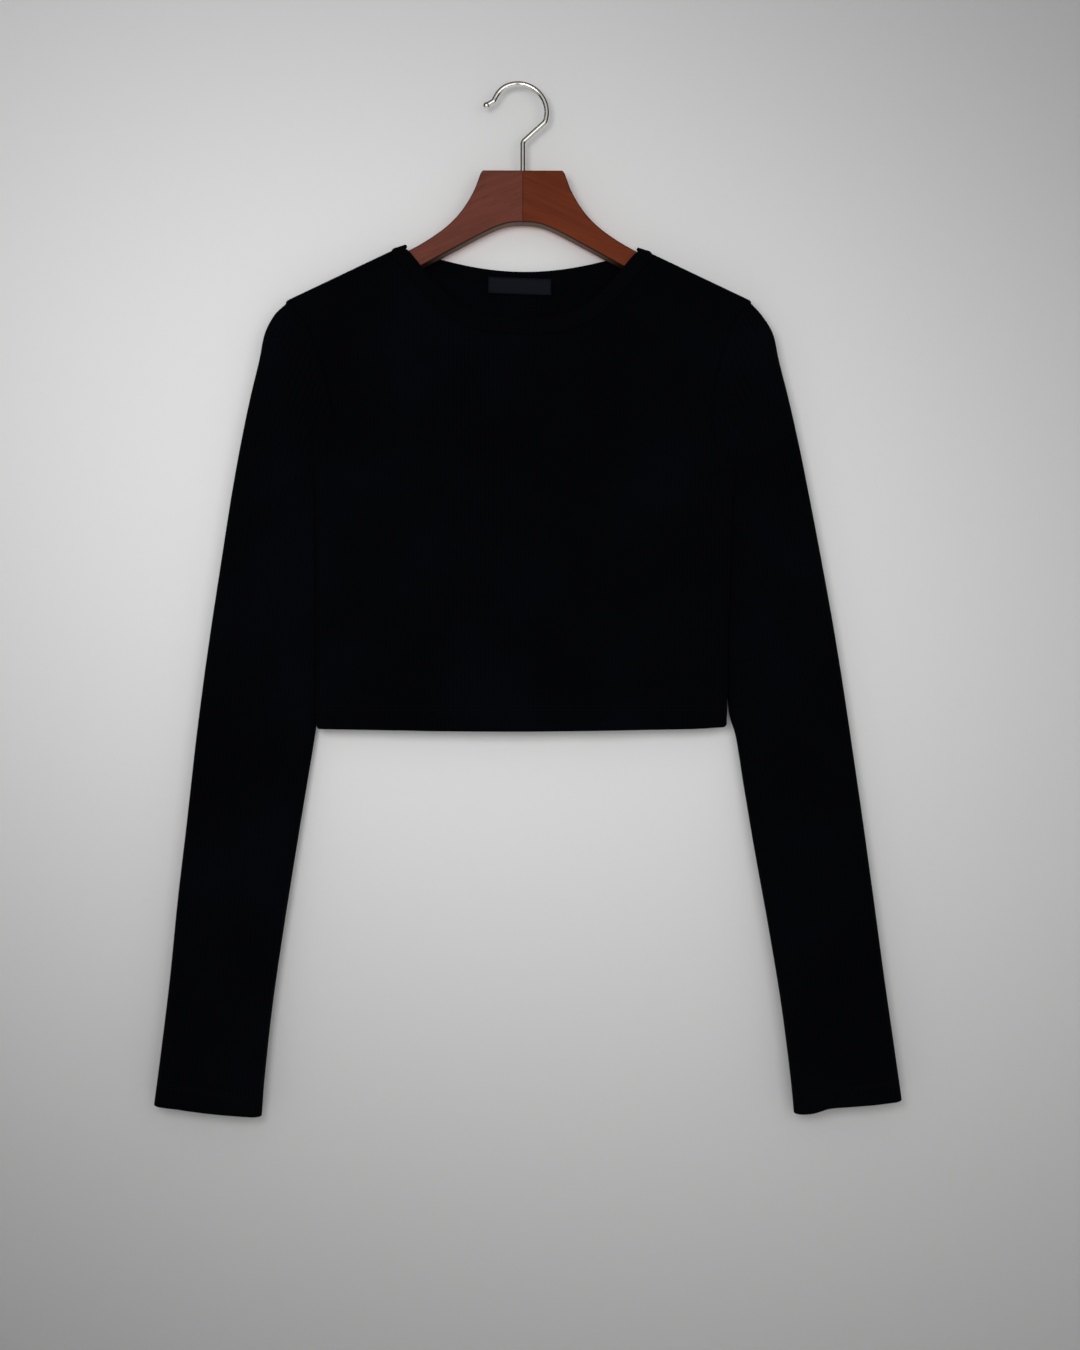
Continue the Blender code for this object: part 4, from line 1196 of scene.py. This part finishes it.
class CROPTOP_OT_label(bpy.types.Operator):
    """Sews the woven label to the inside of the back, left bare"""

    bl_idname = "croptop.label"
    bl_label = "Neck label"

    def execute(self, context):
        sizes, colours, _ = settings()
        columns, rows = LABEL_STEPS

        def place_at(row, column):
            share, drop = column / columns, row / rows
            x = LABEL_X + LABEL_WIDTH * (share - 0.5)
            z = LABEL_TOP_Z - LABEL_DROOP * share - LABEL_HEIGHT * (1 - drop)
            face = panel_depth(BACK, x, z, True) - CAD_WALL / 2 - BAND_THICK / 2 - SEAM_GAP
            curl = LABEL_CURL[0] * abs(2 * share - 1) ** 6 + LABEL_CURL[1] * (1 - drop) ** 3
            flat = (LABEL_WIDTH * (share - 0.5), LABEL_HEIGHT * (drop - 0.5))
            return Vector((x, face - LABEL_THICK - curl, z)), flat, flat

        mesh = cloth_sheet(columns, rows, place_at, lambda face: Vector((0, -1, 0)))
        ribbon = woven_label(sizes, colours)
        piece = finish_piece("neck_label_ribbon", mesh, ribbon, "neck_label")
        thicken(piece, LABEL_THICK * 0.8)
        return {"FINISHED"}


def smooth_line(points, steps):
    """The same line with more points, on a smooth curve through them."""
    line = []
    last = len(points) - 1
    for k in range(last):
        a, b, c, d = (points[min(max(j, 0), last)] for j in (k - 1, k, k + 1, k + 2))
        for step in range(steps):
            t = step / steps
            line.append(
                tuple(
                    0.5 * (2 * q + (r - p) * t + (2 * p - 5 * q + 4 * r - s) * t**2
                           + (3 * q - p - 3 * r + s) * t**3)
                    for p, q, r, s in zip(a, b, c, d)
                )
            )
    line.append(tuple(points[-1]))
    return line


def wood_outline():
    """One half of the hanger seen from the front: (distance from the joint, z)."""
    shoulder = [(WOOD_TOP_HALF, WOOD_TOP_Z)] + [(point.half, point.z) for point in FLANK]
    outline = [(JOINT_GAP / 2, WOOD_TOP_Z)] + smooth_line(shoulder, OUTLINE_STEPS)
    slope = atan2(FLANK[-1].z - ARM_TOP_TIP.z, ARM_TOP_TIP.half - FLANK[-1].half)
    radius = ARM_HEIGHT / 2
    centre = (ARM_TOP_TIP.half - radius * sin(slope), ARM_TOP_TIP.z - radius * cos(slope))
    for k in range(ARM_TIP_STEPS + 1):
        angle = pi / 2 - slope - pi * k / ARM_TIP_STEPS
        outline.append((centre[0] + radius * cos(angle), centre[1] + radius * sin(angle)))
    arch = [(point.half, point.z) for point in UNDERSIDE] + [(JOINT_GAP / 2, ARCH_Z)]
    return outline + smooth_line(arch, OUTLINE_STEPS)


class CROPTOP_OT_hanger(bpy.types.Operator):
    """Saws, rounds and stains the two wooden halves"""

    bl_idname = "croptop.hanger"
    bl_label = "Wooden hanger"

    def execute(self, context):
        sizes, colours, _ = settings()
        for direction, word in ((-1, "left"), (1, "right")):
            mesh = bmesh.new()
            corners = [
                mesh.verts.new((WOOD_X + direction * half, -WOOD_THICK / 2, z))
                for half, z in wood_outline()
            ]
            bmesh.ops.rotate(
                mesh, verts=corners, cent=(WOOD_X, 0, WOOD_TOP_Z),
                matrix=Matrix.Rotation(-WOOD_TILT, 3, "Y"),
            )
            face = mesh.faces.new(corners)
            moved = bmesh.ops.extrude_face_region(mesh, geom=[face])["geom"]
            bmesh.ops.translate(
                mesh, verts=[item for item in moved if isinstance(item, bmesh.types.BMVert)],
                vec=(0, WOOD_THICK, 0),
            )
            bmesh.ops.recalc_face_normals(mesh, faces=mesh.faces)
            rim = []
            for edge in mesh.edges:
                level = abs(edge.verts[0].co.y - edge.verts[1].co.y) < WOOD_THICK / 4
                at_joint = all(abs(vert.co.x - WOOD_X) < NEAR_JOINT for vert in edge.verts)
                if level and not at_joint:
                    rim.append(edge)
            bmesh.ops.bevel(
                mesh, geom=rim, offset=sizes.wood_edge, segments=4, profile=0.5,
                affect="EDGES", material=-1, clamp_overlap=True,
            )
            flats = [face for face in mesh.faces if len(face.verts) > OUTLINE_LEAST]
            bmesh.ops.inset_individual(
                mesh, faces=flats, thickness=FLAT_INSET, use_even_offset=True
            )
            # Downward faces get the second material: lighter and greyer as a painted reflection of
            # the wall, with painted shadow towards the arms' ends.
            for face in mesh.faces:
                _, through, up = face.normal
                face.material_index = int(up < UNDER_FACES[0] and abs(through) < UNDER_FACES[1])
            tints = (colours.wood_left, colours.wood_left_dark)
            if direction > 0:
                tints = (colours.wood_right, colours.wood_right_dark)
            piece = finish_piece(
                f"hanger_{word}_half", mesh,
                stained_wood(f"stained wood, {word}", direction, *tints, colours),
                f"hanger_wood_{word}", radians(32),
            )
            # Painted reflection: the underside's colours stand in for the wall's light reflected in
            # the lacquer.
            under = (colours.wood_underside_reflection, colours.wood_underside_reflection_dark)
            piece.data.materials.append(
                stained_wood(f"thin stain, {word}", direction, *under, colours, UNDER_SHADED)
            )
        return {"FINISHED"}


def rounded(before, corner, after, radius):
    """Points on a bend that replaces a corner of the wire."""
    start, end = (before - corner).normalized(), (after - corner).normalized()
    half = start.angle(end) / 2
    reach = radius / tan(half)
    centre = corner + (start + end).normalized() * (radius / sin(half))
    first, last = corner + start * reach - centre, corner + end * reach - centre
    turn = first.angle(last)
    points = []
    for k in range(BEND_STEPS + 1):
        t = k / BEND_STEPS
        points.append(
            centre + (first * sin((1 - t) * turn) + last * sin(t * turn)) / sin(turn)
        )
    return points


def hook_route():
    """(point, radius) along the wire: stem, slanted run, crown, kink and ball."""
    centre = Vector((0, 0, -HOOK_RADIUS + WIRE / 2))
    crown = []
    for k in range(HOOK_STEPS + 1):
        angle = lerp(HOOK_START, HOOK_END, k / HOOK_STEPS)
        radius = HOOK_RADIUS - HOOK_CLOSE * smooth(between(angle, HOOK_CLOSE_AT))
        crown.append(centre + radius * Vector((cos(angle), 0, sin(angle))))
    foot = Vector((WOOD_X, 0, WOOD_TOP_Z - STEM_DEPTH))
    corner = Vector((WOOD_X, 0, STEM_TOP_Z))
    ball = Vector((BALL_AT[0], 0, BALL_AT[1]))
    run = (ball - crown[-1]).normalized()
    line = [foot, Vector((WOOD_X, 0, WOOD_TOP_Z))] + rounded(foot, corner, crown[0], BEND_RADIUS)
    line += rounded(corner, crown[0], crown[2], CROWN_BEND_RADIUS) + crown[3:-1]
    line += rounded(crown[-2], crown[-1], ball, TIP_BEND_RADIUS)
    line += [ball - run * BALL_RADIUS * BALL_NECK]
    route = [(point, WIRE / 2) for point in line]
    for k in range(1, BALL_STEPS):
        angle = pi * k / BALL_STEPS
        radius = BALL_RADIUS * sin(angle)
        if k < BALL_STEPS / 2:
            radius = max(WIRE / 2, radius)
        route.append((ball - run * BALL_RADIUS * cos(angle), radius))
    return route


def swept_tube(route, sides):
    """A round tube along a route in the plane y = 0, with closed ends."""
    mesh = bmesh.new()
    rings = []
    for k, (point, radius) in enumerate(route):
        before, after = route[max(k - 1, 0)][0], route[min(k + 1, len(route) - 1)][0]
        run = (after - before).normalized()
        turn = Matrix((Vector((0, 1, 0)), Vector((0, 1, 0)).cross(run) * -1, run)).transposed()
        made = bmesh.ops.create_circle(
            mesh, cap_ends=k in (0, len(route) - 1), segments=sides, radius=radius,
            matrix=Matrix.Translation(point) @ turn.to_4x4(),
        )
        ring = set(made["verts"])
        rings.append([edge for edge in mesh.edges if ring.issuperset(edge.verts)])
    for first, second in zip(rings, rings[1:]):
        bmesh.ops.bridge_loops(mesh, edges=first + second)
    bmesh.ops.recalc_face_normals(mesh, faces=mesh.faces)
    return mesh


class CROPTOP_OT_hook(bpy.types.Operator):
    """Bends the chromed hook"""

    bl_idname = "croptop.hook"
    bl_label = "Wire hook"

    def execute(self, context):
        mesh = swept_tube(hook_route(), HOOK_SIDES)
        finish_piece("hook_wire", mesh, chromed_wire(), "hanger_hook", radians(60))
        return {"FINISHED"}


# ---------------------------------------------------------------- studio

CAMERA_AT = (0.0167, -0.4476)
SENSOR = 0.036
WALL_Y = 0.0138
WALL_SIZE = 3.2
# Painted shade on the wall: its middle, and how fast its colour darkens from there.
WALL_PAINTED_SHADE_MIDDLE = (-0.097, -0.302)
WALL_PAINTED_SHADE_RATES = (1.629, 2.338, 0.982)  # how fast its painted shade darkens it across, up and aslant
WALL_PAINTED_SHADE_LIMIT = (2.2, 0.8)  # where its painted shade darkens it no further, and over how much that eases in
FLOOR_Z = -1.30
LIT = (CAMERA_AT[0], 0, -0.36)  # what the lamps point at
LAMPS = {
    "key": (0.42, (-0.27, -1.22, -0.20)),
    "fill": (0.8, (0.42, -1.30, -0.30)),
    "rear": (1.2, (0.5, 2.2, 0.8)),
}


def flat_square(name, size, centre, upright, material):
    mesh = bmesh.new()
    bmesh.ops.create_grid(mesh, x_segments=1, y_segments=1, size=size / 2)
    if upright:
        turn = Matrix.Rotation(pi / 2, 3, "X")
        bmesh.ops.rotate(mesh, verts=mesh.verts, cent=(0, 0, 0), matrix=turn)
    bmesh.ops.translate(mesh, verts=mesh.verts, vec=centre)
    placed = mesh_object(name, mesh, material)
    return placed


def painted(name, colour, one_sided=False):
    """Matt paint with a faint roller texture. A one-sided wall is clear from behind and gets
    painted
    shade: its colour darkens away from its middle, for the light's fall-off."""
    finish = Finish(name, Roughness=0.95, Specular_IOR_Level=0.1)
    place = finish.place()
    speck = finish.noise(place, 320.0, 3.0)
    cloud = finish.noise(place, 1.3, 2.0)
    shade = tuple(channel * 0.965 for channel in colour)
    colour = finish.mix(speck * 0.5 + cloud * 0.5, shade, colour)
    finish.feed(Base_Color=colour, Normal=finish.bump(speck, 0.0002, 0.25))
    if one_sided:
        # Painted shade: the base colour darkens with distance from the wall's middle, for the
        # light's fall-off towards the edges.
        across, _, up = finish.axes(place)
        across, up = across - WALL_PAINTED_SHADE_MIDDLE[0], up - WALL_PAINTED_SHADE_MIDDLE[1]
        far = across**2 * WALL_PAINTED_SHADE_RATES[0] + up**2 * WALL_PAINTED_SHADE_RATES[1] + across * up * WALL_PAINTED_SHADE_RATES[2]
        far = far.soft_least(*WALL_PAINTED_SHADE_LIMIT)
        finish.feed(Base_Color=finish.mix(far / (far + 1), colour, (0, 0, 0)))
        behind = finish.source("ShaderNodeNewGeometry", "Backfacing")
        clear = finish.node("ShaderNodeBsdfTransparent", {}, {})
        finish.show("Material Output", behind, finish.shader, clear)
    return finish.material


def area_light(name, power, size, place, target):
    lamp = bpy.data.lights.new(name, "AREA")
    lamp.energy = power
    lamp.shape = "SQUARE"
    lamp.size = size
    placed = placed_object(name, lamp)
    placed.location = place
    placed.rotation_euler = (Vector(target) - Vector(place)).to_track_quat("-Z", "Y").to_euler()
    placed.visible_camera = False
    return placed


CURTAINS = ((0.0, 0.6), (0.25, 0.03), (0.725, 0.03), (0.93, 1.3))  # from behind to in front: light


def room_light(strength):
    """Even light all round. Polished metal sees it in front and, weaker, behind, and dark sides."""
    world = bpy.data.worlds.new("studio room")
    graph = Graph(world)
    room = graph.tree.nodes["Background"]
    room.inputs["Strength"].default_value = strength
    room.inputs["Color"].default_value = (0.96, 0.965, 0.97, 1.0)
    forward = 0.5 - graph.axes(graph.source("ShaderNodeTexCoord", "Generated"))[1] * 0.5
    shade = graph.node("ShaderNodeValToRGB", {}, (forward,))
    stops = shade.color_ramp.elements
    while len(stops) < len(CURTAINS):
        stops.new(1.0)
    for stop, (at, level) in zip(stops, CURTAINS):
        stop.position = at
        stop.color = (level, level, level, 1.0)
    seen = {"Color": graph.out(shade), "Strength": strength}
    curtains = graph.node("ShaderNodeBackground", {}, seen)
    glossy = graph.source("ShaderNodeLightPath", "Is Glossy Ray")
    graph.show("World Output", glossy, room, curtains)
    return world


class CROPTOP_OT_studio(bpy.types.Operator):
    """Sets up the wall, the floor, the lights and the camera"""

    bl_idname = "croptop.studio"
    bl_label = "Studio"

    def execute(self, context):
        _, colours, studio = settings()
        wall = flat_square(
            "studio_wall", WALL_SIZE, (CAMERA_AT[0], WALL_Y, FLOOR_Z + WALL_SIZE / 2), True,
            painted("wall paint", colours.wall, True),
        )
        wall.visible_shadow = False
        wall.visible_glossy = False
        flat_square(
            "studio_floor", 2 * WALL_SIZE, (CAMERA_AT[0], 0, FLOOR_Z), False,
            painted("floor paint", colours.floor),
        )
        for name, (size, place) in LAMPS.items():
            lamp = area_light(name, getattr(studio, name), size, place, LIT)
            lamp.visible_glossy = name != "rear"
        context.scene.world = room_light(studio.room)
        camera = bpy.data.cameras.new("studio camera")
        camera.sensor_width = SENSOR * 1000
        camera.lens = SENSOR * 1000 * studio.distance / studio.view_height
        placed = placed_object("studio_camera", camera)
        placed.location = (CAMERA_AT[0], -studio.distance, CAMERA_AT[1])
        placed.rotation_euler = (pi / 2, 0, 0)
        context.scene.camera = placed
        context.scene.view_settings.view_transform = "Standard"
        return {"FINISHED"}


class CROPTOP_PT_sidebar(bpy.types.Panel):
    """Lists the pieces of the crop top and its hanger"""

    bl_idname = "CROPTOP_PT_sidebar"
    bl_label = "Crop top on a hanger"
    bl_space_type = "VIEW_3D"
    bl_region_type = "UI"
    bl_category = "Crop top"

    def draw(self, context):
        for group in settings():
            box = self.layout.box()
            for name in group.__annotations__:
                box.prop(group, name)
        for operator in OPERATORS:
            self.layout.operator(operator.bl_idname)


OPERATORS = (
    CROPTOP_OT_studio,
    CROPTOP_OT_panels,
    CROPTOP_OT_sleeves,
    CROPTOP_OT_neckband,
    CROPTOP_OT_label,
    CROPTOP_OT_hanger,
    CROPTOP_OT_hook,
)
CLASSES = (CropTopSizes, CropTopColours, CropTopStudio, *OPERATORS, CROPTOP_PT_sidebar)


def register():
    for item in CLASSES:
        bpy.utils.register_class(item)
    bpy.types.Scene.crop_top_sizes = PointerProperty(type=CropTopSizes)
    bpy.types.Scene.crop_top_colours = PointerProperty(type=CropTopColours)
    bpy.types.Scene.crop_top_studio = PointerProperty(type=CropTopStudio)


def unregister():
    del bpy.types.Scene.crop_top_studio
    del bpy.types.Scene.crop_top_colours
    del bpy.types.Scene.crop_top_sizes
    for item in reversed(CLASSES):
        bpy.utils.unregister_class(item)


def main():
    for name in ("Cube", "Light", "Camera"):
        if name in bpy.data.objects:
            bpy.data.objects.remove(bpy.data.objects[name])
    register()
    bpy.ops.croptop.studio()
    bpy.ops.croptop.panels()
    bpy.ops.croptop.sleeves()
    bpy.ops.croptop.neckband()
    bpy.ops.croptop.label()
    bpy.ops.croptop.hanger()
    bpy.ops.croptop.hook()
    bpy.context.view_layer.update()


if __name__ == "__main__":
    main()
